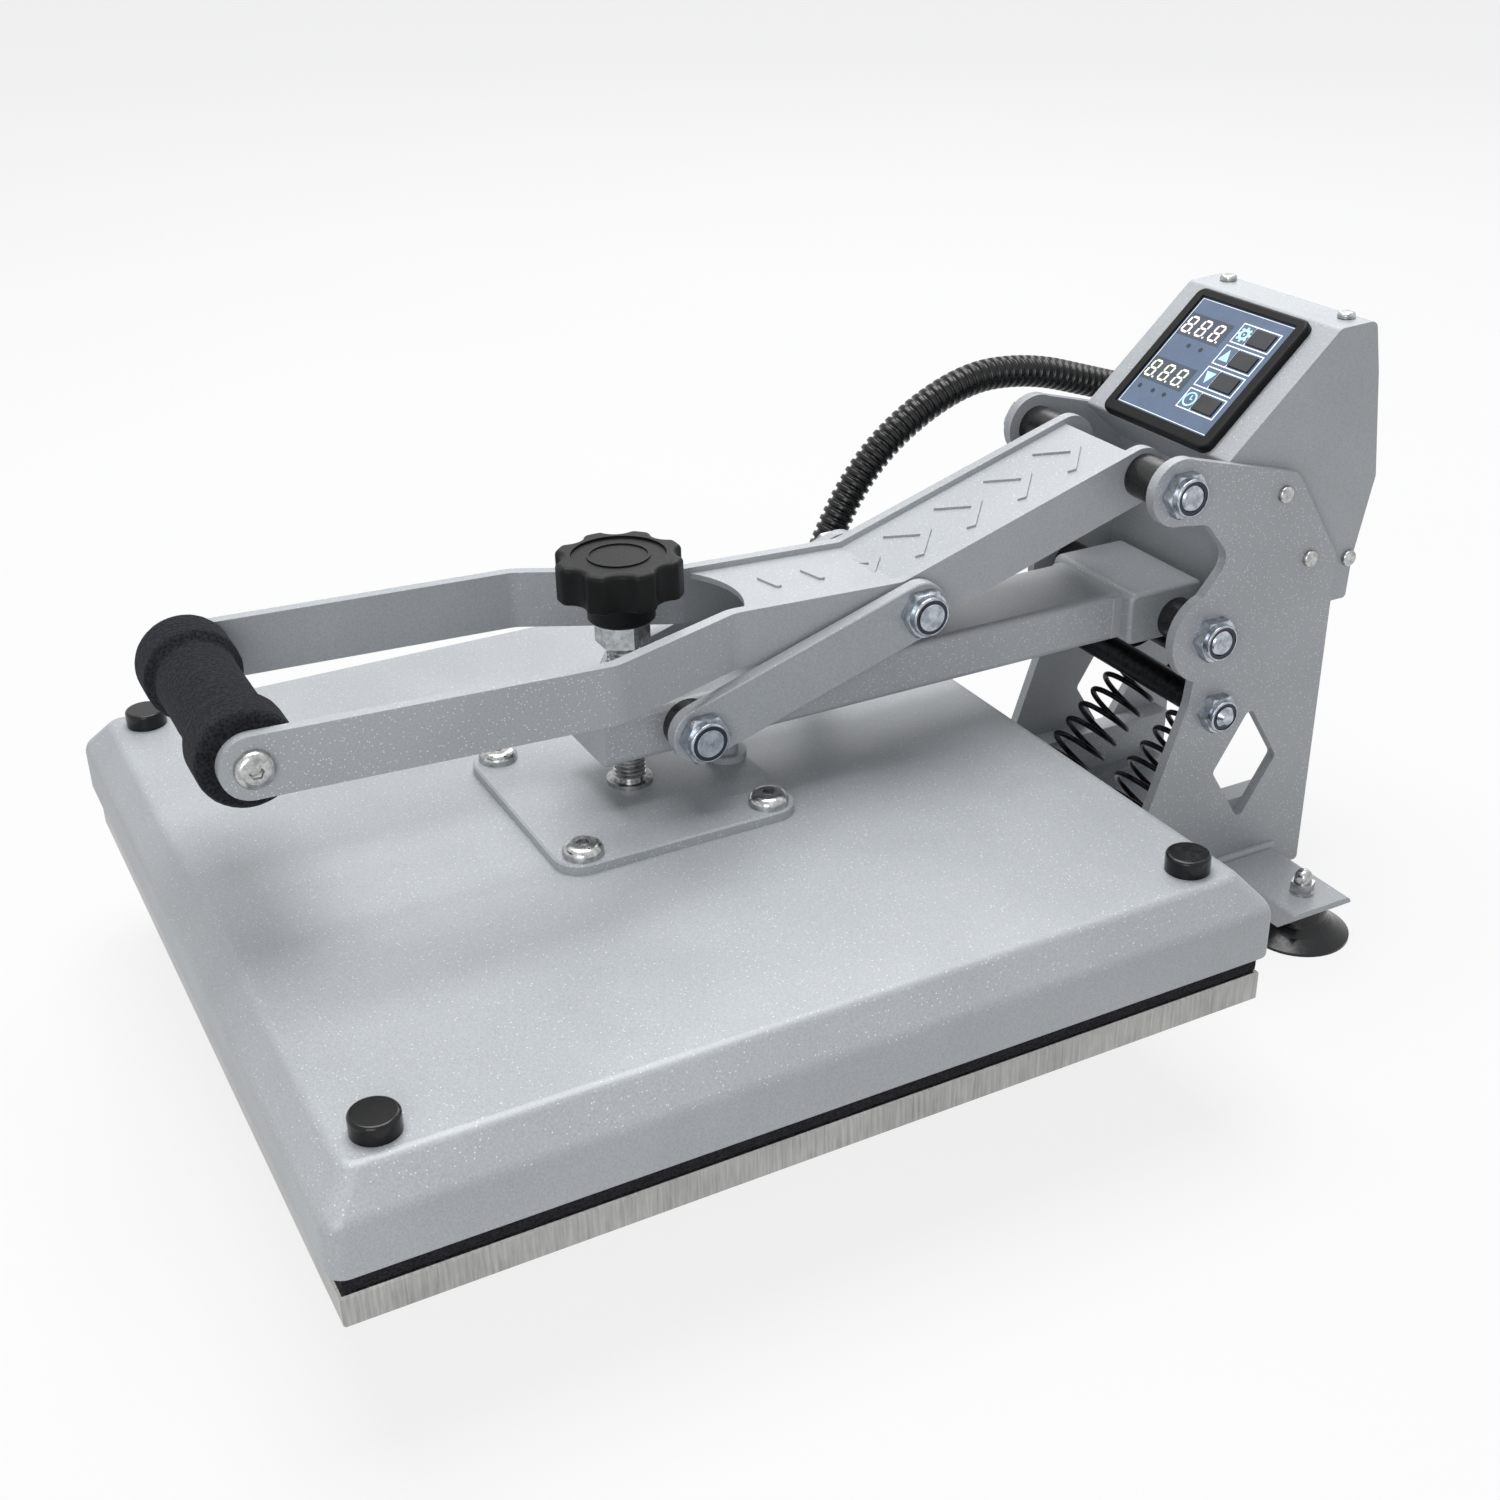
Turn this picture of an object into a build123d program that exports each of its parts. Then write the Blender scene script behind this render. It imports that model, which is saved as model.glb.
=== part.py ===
"""Flat clamshell heat press with a 38 cm platen, built as separate pieces.

Millimetres. X runs to the operator's right, Y to the rear, Z up. The press is closed.
Pieces are drawn with y = 0 at the middle of the platens, and the finished model is
moved along Y so that its origin is the bottom centre of its bounding box.
"""

from build123d import *
import math
import os

os.makedirs("parts", exist_ok=True)

# Fits
pin_fit = 0.05
side_play = 0.15
soft_gap = 0.3
slide_fit = 0.1

# Suction feet
foot_rim_r = 24.0
foot_shoulder_r = 14.0
foot_neck_r = 13.0
foot_height = 18.0
foot_x = 97.0
foot_stud_r = 3.0
foot_nut_af = 10.0
foot_nut_h = 5.0
foot_dome_h = 5.5

# Crossmembers: inverted U brackets
cross_width = 35.0
cross_t = 3.0
cross_drop = 11.5
cross_half = 111.5
cross_mitre = 9.5
cross_rear_y = 302.5
cross_front_y = -120.0

# Base rails and straps under the lower platen
rail_h = 30.0
rail_w = 11.0
rail_t = 2.5
rail_front_y = -140.0
rail_rear_y = 330.0
strap_t = 4.0
strap_w = 30.0
strap_half = 150.0
strap_y = 120.0

# Lower platen and pad
platen_half = 190.0
platen_t = 13.0
platen_edge_r = 0.8
platen_screw_x = 120.0
platen_screw_r = 3.0
platen_screw_head_r = 5.5
platen_screw_head_h = 3.3
platen_screw_bite = 8.0
pad_half = 189.0
pad_t = 8.5

# Upper platen
hot_half = 189.5
hot_t = 13.0
cover_half = 193.0
cover_t = 1.5
cover_lift = 0.5
cover_skirt = 20.7
cover_crown = 13.8
cover_inset = 11.5
cover_corner_r = 7.0
cover_shoulder_r = 8.0
cover_top_r = 5.0
cap_x = 168.0
cap_y = 166.0
cap_r = 9.0
cap_h = 7.5
cap_wall = 1.2
cover_screw_r = 3.0
cover_screw_head_r = 5.5
cover_screw_head_h = 3.5
pillar_r = 7.0
screw_bite = 8.0
blanket_t = 8.0
blanket_half = 172.0
element_r = 4.0
element_half = 140.0
element_pitch = 56.0

# Mounting plate on the cover, pressure spindle and knob
mount_y = 2.0
mount_half_x = 56.0
mount_half_y = 54.0
mount_t = 4.5
mount_corner_r = 12.0
mount_screw_x = 46.5
mount_screw_y = 42.0
mount_screw_r = 4.0
mount_head_r = 8.5
mount_head_h = 5.0
hex_key_af = 5.0
spindle_r = 7.0
thread_pitch = 2.0
thread_depth = 1.2
washer_r = 10.0
washer_t = 2.0
spindle_above_arm = 21.6
sleeve_af = 20.0
sleeve_h = 10.4
knob_hub_r = 14.0
knob_hub_h = 12.0
knob_r = 26.7
knob_h = 16.0
knob_lobes = 8
knob_scallop_r = 8.0
knob_scallop_depth = 3.6
knob_ring_r = 13.0
knob_ring_w = 1.0
knob_ring_h = 0.6
knob_dish_r = 19.5
knob_dish_depth = 1.0
bush_r = 10.0
guide_y = 48.0
guide_r = 5.5
guide_above_arm_floor = 9.0
guide_head_r = 9.0
guide_head_h = 3.0

# Pivots, as Y and height above the crossmember top
handle_pivot_y = 242.5
handle_pivot_h = 197.5
arm_pivot_y = 267.5
arm_pivot_h = 124.0
toggle_pivot_y = 124.0
toggle_pivot_h = 160.86
link_pivot_y = 19.0
link_pivot_h = 128.4
stop_y = 273.5
stop_h = 85.5
bolt_r = 6.0
bolt_af = 19.0
bolt_head_h = 7.5
bolt_nut_h = 8.0
stop_bolt_r = 5.0
stop_bolt_af = 17.0
stop_bolt_tip = 2.2
spacer_r = 10.0
link_spacer_r = 11.0
stop_sleeve_r = 7.0

# Side plates
plate_in = 51.0
plate_t = 5.0
plate_boss_r = 15.3
plate_lobe_r = 22.0
plate_rear_y = 338.0
plate_foot = 13.0
plate_slot_gap = 0.0
diamond_y = 296.0
diamond_h = 51.6
diamond_half_y = 19.2
diamond_half_h = 30.5
diamond_r = 3.0
weld_r = 2.4

# Lower arm
arm_half = 23.0
arm_floor_h = 116.0
arm_height = 23.0
arm_wall = 3.0
arm_front_y = -18.0
arm_edge_r = 3.5
block_half = 30.0
block_front_y = 241.0
block_rear_y = 283.0
block_edge_r = 4.0
seam_w = 5.0
seam_t = 0.8
tail_half = 7.0
crossbar_y = 313.0
crossbar_h = 81.0
crossbar_r = 5.0
crossbar_half = 40.0
crossbar_groove = 0.6

# Links
link_in = 30.5
link_t = 6.0
link_half_w = 12.5

# Handle
bar_half_w = 12.5
bar_t = 5.0
bar_front_in = 51.0
bar_rear_in = 24.0
bar_jog_front_y = -25.0
bar_jog_rear_y = 39.0
bar_bend_r = 12.0
grip_y = -165.0
grip_h = 171.1
bar_bend_y = 120.8
cover_strip_t = 2.5
cover_strip_rise = 10.0
cover_strip_front_y = 54.0
cover_strip_rear_y = 242.0
cover_strip_arc = 9.0
chevrons = 5
chevron_pitch = 27.4
chevron_first = 116.0
chevron_half = 15.0
chevron_depth = 14.0
chevron_arm = 4.0
emboss_h = 1.0
dash_len = 14.0
dash_w = 3.2
grip_r = 16.0
grip_collar_r = 19.5
grip_collar_len = 9.0
grip_flare_len = 7.0
grip_rod_r = 9.0
grip_screw_r = 4.0
grip_screw_head_r = 7.5
grip_screw_head_h = 4.0
grip_screw_bite = 20.0

# Return springs
spring_x = 25.0
spring_r = 12.9
spring_wire = 2.8
spring_pitch = 8.9
anchor_y = 232.0
anchor_h = 7.5
anchor_r = 5.0

# Control box
box_half = 51.0
box_t = 1.5
panel_foot_y = 271.0
panel_foot_h = 204.0
panel_tilt = 42.1
panel_len = 77.5
box_top_len = 20.5
box_brow_y = 354.0
box_brow_h = 232.5
box_back_y = 361.0
box_back_h = 183.0
box_waist_y = 353.0
box_waist_h = 144.0
box_floor_y = 352.0
box_floor_h = 124.0
box_front_y = 292.0
box_lip_h = 185.0
box_screw_x = 39.5
box_screw_r = 2.0
box_screw_head_r = 4.0
box_screw_head_h = 2.4

# Display panel: s runs up the slanted face from its foot
bezel_half = 37.5
bezel_len = 74.5
bezel_h = 4.0
bezel_r = 5.0
screen_half = 32.0
screen_s0 = 6.0
screen_len = 64.0
screen_t = 1.5
screen_drop = 1.2
key_u = 19.0
key_s0 = 20.3
key_pitch = 12.7
key_half_u = 6.7
key_half_s = 4.1
key_proud = 0.8
key_travel = 0.6
key_flange = 0.8
board_drop = 6.0
board_t = 1.6
post_r = 1.9
post_inset = 3.0
digit_u = -16.3
digit_half_u = 15.0
digit_half_s = 6.5

# Power inlet and rocker on the rear face
inlet_half_x = 36.0
inlet_half_e = 15.5
inlet_flange_t = 2.5
inlet_depth = 24.0
socket_x = -14.0
socket_half_x = 12.0
socket_half_e = 8.2
socket_depth = 17.0
pin_len = 11.0
rocker_x = 20.0
rocker_half_x = 6.3
rocker_half_e = 9.5
rocker_tilt = 8.0
rocker_axis_drop = 5.0

# Ribbed hose
hose_x = -72.0
hose_r = 7.5
hose_root_r = 6.3
hose_bore_r = 4.8
hose_pitch = 4.0
hose_start_y = 314.0
hose_start_h = 198.6
hose_rise = 18.0
hose_top_y = 238.0
hose_top_h = 219.0
hose_end_y = 133.0
gland_r = 12.0
gland_nut_h = 6.0
gland_h = 13.0
elbow_r = 10.0
elbow_flange_r = 12.5
elbow_flange_t = 5.0
elbow_back = 15.0

# Levels that follow from the sizes above
cross_top = foot_height + cross_t
rail_top = cross_top + rail_h
platen_base = rail_top + strap_t
platen_top = platen_base + platen_t
pad_top = platen_top + pad_t
hot_base = pad_top + soft_gap
hot_top = hot_base + hot_t
cover_base = hot_base + cover_lift
cover_top = cover_base + cover_skirt + cover_crown
mount_top = cover_top + mount_t
arm_floor = cross_top + arm_floor_h
arm_top = arm_floor + arm_height
p1 = (handle_pivot_y, cross_top + handle_pivot_h)
p2 = (arm_pivot_y, cross_top + arm_pivot_h)
p3 = (toggle_pivot_y, cross_top + toggle_pivot_h)
p4 = (link_pivot_y, cross_top + link_pivot_h)
p5 = (stop_y, cross_top + stop_h)
grip = (grip_y, cross_top + grip_h)
crossbar = (crossbar_y, cross_top + crossbar_h)
anchor = (anchor_y, cross_top + anchor_h)
plate_out = plate_in + plate_t
link_out = link_in + link_t
spindle_top = arm_top + spindle_above_arm


def block(x0, x1, y0, y1, z0, z1):
    """Upright box between two corners."""
    return Pos((x0 + x1) / 2, (y0 + y1) / 2, (z0 + z1) / 2) * Box(x1 - x0, y1 - y0, z1 - z0)


def round_x(centre, r, x0, x1):
    """Cylinder along X about a (y, z) centre."""
    return Pos((x0 + x1) / 2, centre[0], centre[1]) * Rot(0, 90, 0) * Cylinder(r, abs(x1 - x0))


def round_z(x, y, r, z0, z1):
    """Upright cylinder."""
    return Pos(x, y, (z0 + z1) / 2) * Cylinder(r, z1 - z0)


def hex_x(centre, across, x0, x1):
    """Hexagonal bar along X about a (y, z) centre, its corners eased like a turned nut."""
    low = min(x0, x1)
    long = abs(x1 - x0)
    bar = extrude(Plane.YZ.offset(low) * Pos(*centre) * RegularPolygon(across / 2, 6, major_radius=False), long)
    turned = Pos((x0 + x1) / 2, centre[0], centre[1]) * Rot(0, 90, 0) * Cylinder(across * 0.5725, long)
    turned = chamfer(turned.edges(), min(0.9, long / 4))
    return bar & turned


def hex_z(x, y, across, z0, z1):
    """Upright hexagonal bar."""
    return extrude(Plane.XY.offset(z0) * Pos(x, y) * RegularPolygon(across / 2, 6, major_radius=False), z1 - z0)


def rounded_face(corners):
    """Flat face through (u, v, radius) corners, each corner rounded by its radius."""
    points = [Vector(c[0], c[1]) for c in corners]
    edges = []
    ends = []
    count = len(points)
    for i in range(count):
        before = (points[i] - points[i - 1]).normalized()
        after = (points[(i + 1) % count] - points[i]).normalized()
        turn = math.radians(before.get_angle(after))
        r = corners[i][2]
        reach = r * math.tan(turn / 2)
        if r <= 0 or turn < 1e-6:
            ends.append((points[i], points[i]))
            continue
        start = points[i] - before * reach
        stop = points[i] + after * reach
        inward = (after - before).normalized()
        middle = points[i] + inward * (r / math.cos(turn / 2) - r)
        edges.append(ThreePointArc(start, middle, stop))
        ends.append((start, stop))
    for i in range(count):
        a = ends[i][1]
        b = ends[(i + 1) % count][0]
        if (b - a).length > 1e-6:
            edges.append(Line(a, b))
    return make_face(edges)


def slab_x(face, x0, x1):
    """Sheet of a (y, z) face between two X values."""
    return extrude(Plane.YZ.offset(x0) * face, x1 - x0)


def slab_z(face, z0, z1):
    """Sheet of an (x, y) face between two heights."""
    return extrude(Plane.XY.offset(z0) * face, z1 - z0)


def strip_corners(points, half, bend_r):
    """Corners of a bent strip of even width about a line of points."""
    left = []
    right = []
    for i, point in enumerate(points):
        here = Vector(*point)
        dirs = []
        if i > 0:
            dirs.append((here - Vector(*points[i - 1])).normalized())
        if i < len(points) - 1:
            dirs.append((Vector(*points[i + 1]) - here).normalized())
        normals = [Vector(-d.Y, d.X) for d in dirs]
        total = normals[0] if len(normals) == 1 else (normals[0] + normals[1])
        scale = 1.0 if len(normals) == 1 else 1.0 / (1.0 + normals[0].dot(normals[1]))
        offset = total * scale * half
        inner = bend_r if len(normals) == 2 else 0.0
        turn_left = 0.0
        if len(normals) == 2:
            turn_left = dirs[0].X * dirs[1].Y - dirs[0].Y * dirs[1].X
        near = inner if turn_left > 0 else inner + 2 * half
        far = inner + 2 * half if turn_left > 0 else inner
        if inner == 0.0:
            near = 0.0
            far = 0.0
        left.append((here.X + offset.X, here.Y + offset.Y, near))
        right.append((here.X - offset.X, here.Y - offset.Y, far))
    return left + right[::-1]


def mirrored(piece):
    """The same piece on the other side of the middle plane."""
    return mirror(piece, Plane.YZ)


def lock_nut(centre, hole_r, across, x0, high, side):
    """Lock nut with a round collar, and the nylon ring in that collar."""
    hex_h = high * 0.72
    collar_r = across * 0.455
    ring_h = high * 0.22
    ring_r = (collar_r + hole_r) / 2 + 0.35
    body = hex_x(centre, across, x0, x0 + side * hex_h)
    collar = round_x(centre, collar_r, x0 + side * hex_h / 2, x0 + side * high)
    end = collar.faces().sort_by(Axis.X)[-1 if side > 0 else 0]
    body = body + fillet(end.edges(), 0.8)
    body = body - round_x(centre, hole_r + pin_fit, x0 - side, x0 + side * (high + 1))
    body = body - round_x(centre, ring_r, x0 + side * (high - ring_h), x0 + side * (high + 1))
    ring = round_x(centre, ring_r, x0 + side * (high - ring_h), x0 + side * (high - 0.3))
    ring = ring - round_x(centre, hole_r + pin_fit, x0 - side, x0 + side * (high + 1))
    return body, ring


def button_head(x, y, z, r, high, socket):
    """Domed screw head standing on z, with a hexagon socket."""
    head = round_z(x, y, r, z, z + high)
    top = head.faces().sort_by(Axis.Z)[-1]
    head = fillet(top.edges(), high * 0.72)
    return head - hex_z(x, y, socket, z + high * 0.45, z + high + 1)


def make_feet():
    feet = []
    studs = []
    for sx in (-1, 1):
        for y in (cross_front_y, cross_rear_y):
            profile = Polyline(
                (0, 5.0), (16.0, 3.6), (foot_rim_r - 2.0, 0), (foot_rim_r, 0), (foot_rim_r, 1.4),
                (foot_shoulder_r + 3.6, 5.6), (foot_shoulder_r, 8.8), (foot_neck_r, 10.2),
                (foot_neck_r, foot_height), (0, foot_height), (0, 5.0))
            body = revolve(make_face(Plane.XZ * profile), Axis.Z)
            body = Pos(sx * foot_x, y, 0) * body
            body = body - round_z(sx * foot_x, y, foot_stud_r, foot_height - 7, foot_height + 1)
            feet.append(body)
            nut_top = cross_top + 1.2 + foot_nut_h
            stud = round_z(sx * foot_x, y, foot_stud_r, foot_height - 7, nut_top)
            stud = stud + round_z(sx * foot_x, y, foot_nut_af * 0.56, cross_top, cross_top + 1.2)
            stud = stud + hex_z(sx * foot_x, y, foot_nut_af, cross_top + 1.2, nut_top)
            stud = stud + round_z(sx * foot_x, y, foot_nut_af * 0.42, nut_top, nut_top + foot_dome_h * 0.4)
            ball = Pos(sx * foot_x, y, nut_top + foot_dome_h * 0.4) * Sphere(foot_nut_af * 0.42)
            studs.append(stud + ball)
    return feet, studs


def make_crossmember(y):
    half_w = cross_width / 2
    outer = slab_x(rounded_face([
        (y - half_w, cross_top - cross_drop, 0), (y + half_w, cross_top - cross_drop, 0),
        (y + half_w, cross_top, cross_t), (y - half_w, cross_top, cross_t)]), -cross_half, cross_half)
    hollow = block(-cross_half - 1, cross_half + 1, y - half_w + cross_t, y + half_w - cross_t, 0,
                   cross_top - cross_t)
    body = outer - hollow
    for sx in (-1, 1):
        wedge = Plane.XZ.offset(-y - half_w - 1) * make_face(Polyline(
            (sx * cross_half, cross_top - cross_t), (sx * (cross_half + 2), cross_top - cross_t),
            (sx * (cross_half + 2), 0), (sx * (cross_half - cross_mitre), 0),
            (sx * (cross_half - cross_mitre), cross_top - cross_drop),
            (sx * cross_half, cross_top - cross_t)))
        body = body - extrude(wedge, cross_width + 2)
        body = body - round_z(sx * foot_x, y, foot_stud_r + slide_fit, 0, cross_top + 1)
    return body


def make_side_plate():
    """Right side plate; the left one is its mirror image."""
    top = cross_top
    foot = cross_top - plate_foot
    outline = rounded_face([
        (p1[0] + 1.5, p1[1] + plate_boss_r - 0.1, 0),
        (p1[0] + 66.5, top + 194.9, 8),
        (plate_rear_y, top + 150.0, 5),
        (plate_rear_y, foot, 2),
        (p2[0] - 45.5, foot, 2),
        (p2[0] - 26.5, top + 43.0, 30),
        (p2[0] - 9.5, top + 92.0, 10),
        (p2[0] - 6.0, p2[1] - 5, 0),
        (p2[0] - 10.7, p2[1] + 16.9, 0),
        (p2[0] + 6.8, p2[1] + 37.0, 10),
        (p1[0] + 16.5, p1[1] - 17.6, 7),
        (p1[0], p1[1] - plate_boss_r + 0.1, 0)])
    outline = outline + Pos(*p1) * Circle(plate_boss_r)
    outline = outline + Pos(*p2) * Circle(plate_lobe_r)
    body = slab_x(outline, plate_in, plate_out)
    slot_half = cross_width / 2 + plate_slot_gap
    body = body - block(0, plate_out + 5, cross_rear_y - slot_half, cross_rear_y + slot_half, 0, cross_top)
    body = body - slab_x(rounded_face([
        (diamond_y, top + diamond_h + diamond_half_h, diamond_r),
        (diamond_y + diamond_half_y, top + diamond_h, diamond_r),
        (diamond_y, top + diamond_h - diamond_half_h, diamond_r),
        (diamond_y - diamond_half_y, top + diamond_h, diamond_r)]), 0, plate_out + 5)
    for centre, r in ((p1, bolt_r), (p2, bolt_r), (p5, stop_bolt_r)):
        body = body - round_x(centre, r + pin_fit, 0, plate_out + 5)
    bead = Pos(plate_out + 0.4, cross_rear_y, cross_top + 0.4) * Rot(90, 0, 0) * Cylinder(weld_r, cross_width)
    bead = bead & block(plate_out, plate_out + 9, 0, 400, cross_top, cross_top + 9)
    body = body + bead
    for centre in plate_screw_places():
        body = body - round_x(centre, box_screw_r + pin_fit, 0, plate_out + 5)
    return body


def plate_screw_places():
    """Pan screws that hold the control box between the side plates."""
    return [(p1[0] + 59.3, p1[1] - 11.2), (p1[0] + 78.5, p1[1] - 45.7)]


def make_rail():
    """Right base rail: a channel that opens inward."""
    body = block(plate_in - rail_w, plate_in, rail_front_y, rail_rear_y, cross_top, rail_top)
    body = body - block(0, plate_in - rail_t, rail_front_y - 1, rail_rear_y + 1,
                        cross_top + rail_t, rail_top - rail_t)
    return body - round_x(anchor, anchor_r + pin_fit, 0, plate_in + 5)


def make_lower_platen():
    straps = []
    screws = []
    platen = block(-platen_half, platen_half, -platen_half, platen_half, platen_base, platen_top)
    platen = chamfer(platen.edges(), platen_edge_r)
    for sy in (-1, 1):
        y = sy * strap_y
        strap = block(-strap_half, strap_half, y - strap_w / 2, y + strap_w / 2, rail_top, platen_base)
        for sx in (-1, 1):
            x = sx * platen_screw_x
            strap = strap - round_z(x, y, platen_screw_r + slide_fit, rail_top - 1, platen_base + 1)
            screw = round_z(x, y, platen_screw_r, rail_top - 1, platen_base + platen_screw_bite)
            screw = screw + round_z(x, y, platen_screw_head_r, rail_top - platen_screw_head_h, rail_top)
            screws.append(screw)
            platen = platen - round_z(x, y, platen_screw_r, platen_base - 1, platen_base + platen_screw_bite)
        straps.append(strap)
    pad = block(-pad_half, pad_half, -pad_half, pad_half, platen_top, pad_top)
    return straps, screws, platen, pad


def cover_form(half, base, skirt, crown, inset, corner_r):
    """Square cushion-edged form: upright skirt, soft shoulder, flat top."""
    low = extrude(Plane.XY.offset(base) * RectangleRounded(2 * half, 2 * half, corner_r), skirt)
    slope_a = Plane.XY.offset(base + skirt) * RectangleRounded(2 * half, 2 * half, corner_r)
    small = 2 * (half - inset)
    slope_b = Plane.XY.offset(base + skirt + crown) * RectangleRounded(small, small, corner_r)
    body = low + loft([slope_a, slope_b])
    shoulder = body.edges().filter_by_position(Axis.Z, base + skirt - 0.01, base + skirt + 0.01)
    body = fillet(shoulder, cover_shoulder_r)
    brow = body.edges().filter_by_position(Axis.Z, base + skirt + crown - 0.01, base + skirt + crown + 0.01)
    return fillet(brow, cover_top_r)


def pillar_places():
    """Pillars between hot platen and cover: under the caps and under the plate's screws."""
    outer = [(sx * cap_x, sy * cap_y) for sx in (-1, 1) for sy in (-1, 1)]
    inner = [(sx * mount_screw_x, mount_y + sy * mount_screw_y) for sx in (-1, 1) for sy in (-1, 1)]
    return outer, inner


def make_upper_platen():
    outer, inner = pillar_places()
    cover = cover_form(cover_half, cover_base, cover_skirt, cover_crown, cover_inset, cover_corner_r)
    cover = cover - cover_form(cover_half - cover_t, cover_base - 1, cover_skirt + 1, cover_crown - cover_t,
                               cover_inset, cover_corner_r - cover_t)
    plate = block(-hot_half, hot_half, -hot_half, hot_half, hot_base, hot_top)
    plate = chamfer(plate.edges().group_by(Axis.Z)[0], 0.6)
    roof = cover_top - cover_t
    blanket_base = hot_top + 2 * element_r
    blanket = block(-blanket_half, blanket_half, -blanket_half, blanket_half, blanket_base,
                    blanket_base + blanket_t)
    pillars = []
    cover_screws = []
    mount_screws = []
    caps = []
    mount = slab_z(RectangleRounded(2 * mount_half_x, 2 * mount_half_y, mount_corner_r), cover_top, mount_top)
    mount = Pos(0, mount_y, 0) * mount
    mount = chamfer(mount.edges().group_by(Axis.Z)[-1], 0.8)
    for x, y in outer + inner:
        r = cover_screw_r if (x, y) in outer else mount_screw_r
        pillar = round_z(x, y, pillar_r, hot_top, roof) - round_z(x, y, r + pin_fit, hot_top - 1, roof + 1)
        pillars.append(pillar)
        blanket = blanket - round_z(x, y, pillar_r + soft_gap, hot_top, roof)
        plate = plate - round_z(x, y, r + pin_fit, hot_top - screw_bite, hot_top + 1)
        cover = cover - round_z(x, y, r + pin_fit, roof - 1, cover_top + 1)
    for x, y in outer:
        screw = round_z(x, y, cover_screw_r, hot_top - screw_bite, cover_top)
        screw = screw + round_z(x, y, cover_screw_head_r, cover_top, cover_top + cover_screw_head_h)
        cover_screws.append(screw)
        cap = round_z(x, y, cap_r, cover_top, cover_top + cap_h)
        cap = fillet(cap.faces().sort_by(Axis.Z)[-1].edges(), 1.4)
        cap = cap - round_z(x, y, cap_r - cap_wall, cover_top - 1, cover_top + cap_h - cap_wall)
        caps.append(cap)
    for x, y in inner:
        screw = round_z(x, y, mount_screw_r, hot_top - screw_bite, mount_top)
        mount_screws.append(screw + button_head(x, y, mount_top, mount_head_r, mount_head_h, hex_key_af))
        mount = mount - round_z(x, y, mount_screw_r + pin_fit, cover_top - 1, mount_top + 1)
    mount = mount - round_z(0, mount_y, spindle_r - thread_depth + pin_fit, mount_top - 2.5, mount_top + 1)
    pin_top = arm_floor + guide_above_arm_floor
    guide = round_z(0, guide_y, guide_r, mount_top, pin_top)
    guide = chamfer(guide.faces().sort_by(Axis.Z)[-1].edges(), 1.0)
    guide = guide + round_z(0, guide_y, guide_head_r, mount_top, mount_top + guide_head_h)
    cable_hole = round_z(hose_x, hose_end_y, hose_bore_r, roof - 1, cover_top + 1)
    cover = cover - cable_hole
    return cover, plate, blanket, pillars, cover_screws, mount_screws, caps, mount, guide


def make_element():
    """Tubular heating element bent into even rows on the hot platen."""
    rows = int(2 * element_half / element_pitch)
    points = []
    for i in range(rows + 1):
        x = -element_half + i * element_pitch
        ends = (-element_half, element_half) if i % 2 == 0 else (element_half, -element_half)
        points.append((x, ends[0], hot_top + element_r))
        points.append((x, ends[1], hot_top + element_r))
    path = FilletPolyline(*points, radius=element_pitch / 2.4)
    start = Plane(origin=points[0], z_dir=(0, 1, 0))
    return sweep(start * Circle(element_r), path=path)


def make_spindle():
    """Screw spindle with ring grooves at the thread's pitch."""
    low = mount_top
    core = spindle_r - thread_depth
    points = [(0, low), (core, low), (core, low + washer_t + 1)]
    z = low + washer_t + 1
    while z + thread_pitch < spindle_top:
        points.append((core, z + thread_pitch * 0.1))
        points.append((spindle_r, z + thread_pitch * 0.45))
        points.append((spindle_r, z + thread_pitch * 0.65))
        points.append((core, z + thread_pitch))
        z += thread_pitch
    top = spindle_top + sleeve_h + knob_hub_h * 0.8
    points = points + [(core, spindle_top), (core, top), (0, top), (0, low)]
    spindle = revolve(make_face(Plane.XZ * Polyline(*points)), Axis.Z)
    spindle = Pos(0, mount_y, 0) * spindle
    washer = round_z(0, mount_y, washer_r, mount_top, mount_top + washer_t)
    washer = washer - round_z(0, mount_y, core + pin_fit, mount_top - 1, mount_top + washer_t + 1)
    sleeve = hex_z(0, mount_y, sleeve_af, spindle_top, spindle_top + sleeve_h)
    sleeve = sleeve - round_z(0, mount_y, core + pin_fit, spindle_top - 1, spindle_top + sleeve_h + 1)
    return spindle, washer, sleeve, core, top


def make_knob(core, core_top):
    base = spindle_top + sleeve_h
    wheel_base = base + knob_hub_h
    top = wheel_base + knob_h
    outline = Circle(knob_r)
    for i in range(knob_lobes):
        a = math.tau * (i + 0.5) / knob_lobes
        reach = knob_r + knob_scallop_r - knob_scallop_depth
        outline = outline - Pos(reach * math.cos(a), reach * math.sin(a)) * Circle(knob_scallop_r)
    outline = fillet(outline.vertices(), 3.0)
    wheel = slab_z(outline, wheel_base, top)
    wheel = fillet(wheel.edges().group_by(Axis.Z)[-1], 2.2)
    wheel = fillet(wheel.edges().group_by(Axis.Z)[0], 0.8)
    wheel = wheel - round_z(0, 0, knob_dish_r, top - knob_dish_depth, top + 1)
    ring = round_z(0, 0, knob_ring_r, top - knob_dish_depth, top - knob_dish_depth + knob_ring_h)
    ring = ring - round_z(0, 0, knob_ring_r - knob_ring_w, top - knob_dish_depth - 1, top + 1)
    hub = round_z(0, 0, knob_hub_r, base, wheel_base)
    hub = chamfer(hub.edges().group_by(Axis.Z)[0], 0.8)
    body = wheel + ring + hub - round_z(0, 0, core + pin_fit, base - 1, core_top)
    return Pos(0, mount_y, 0) * body


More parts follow.
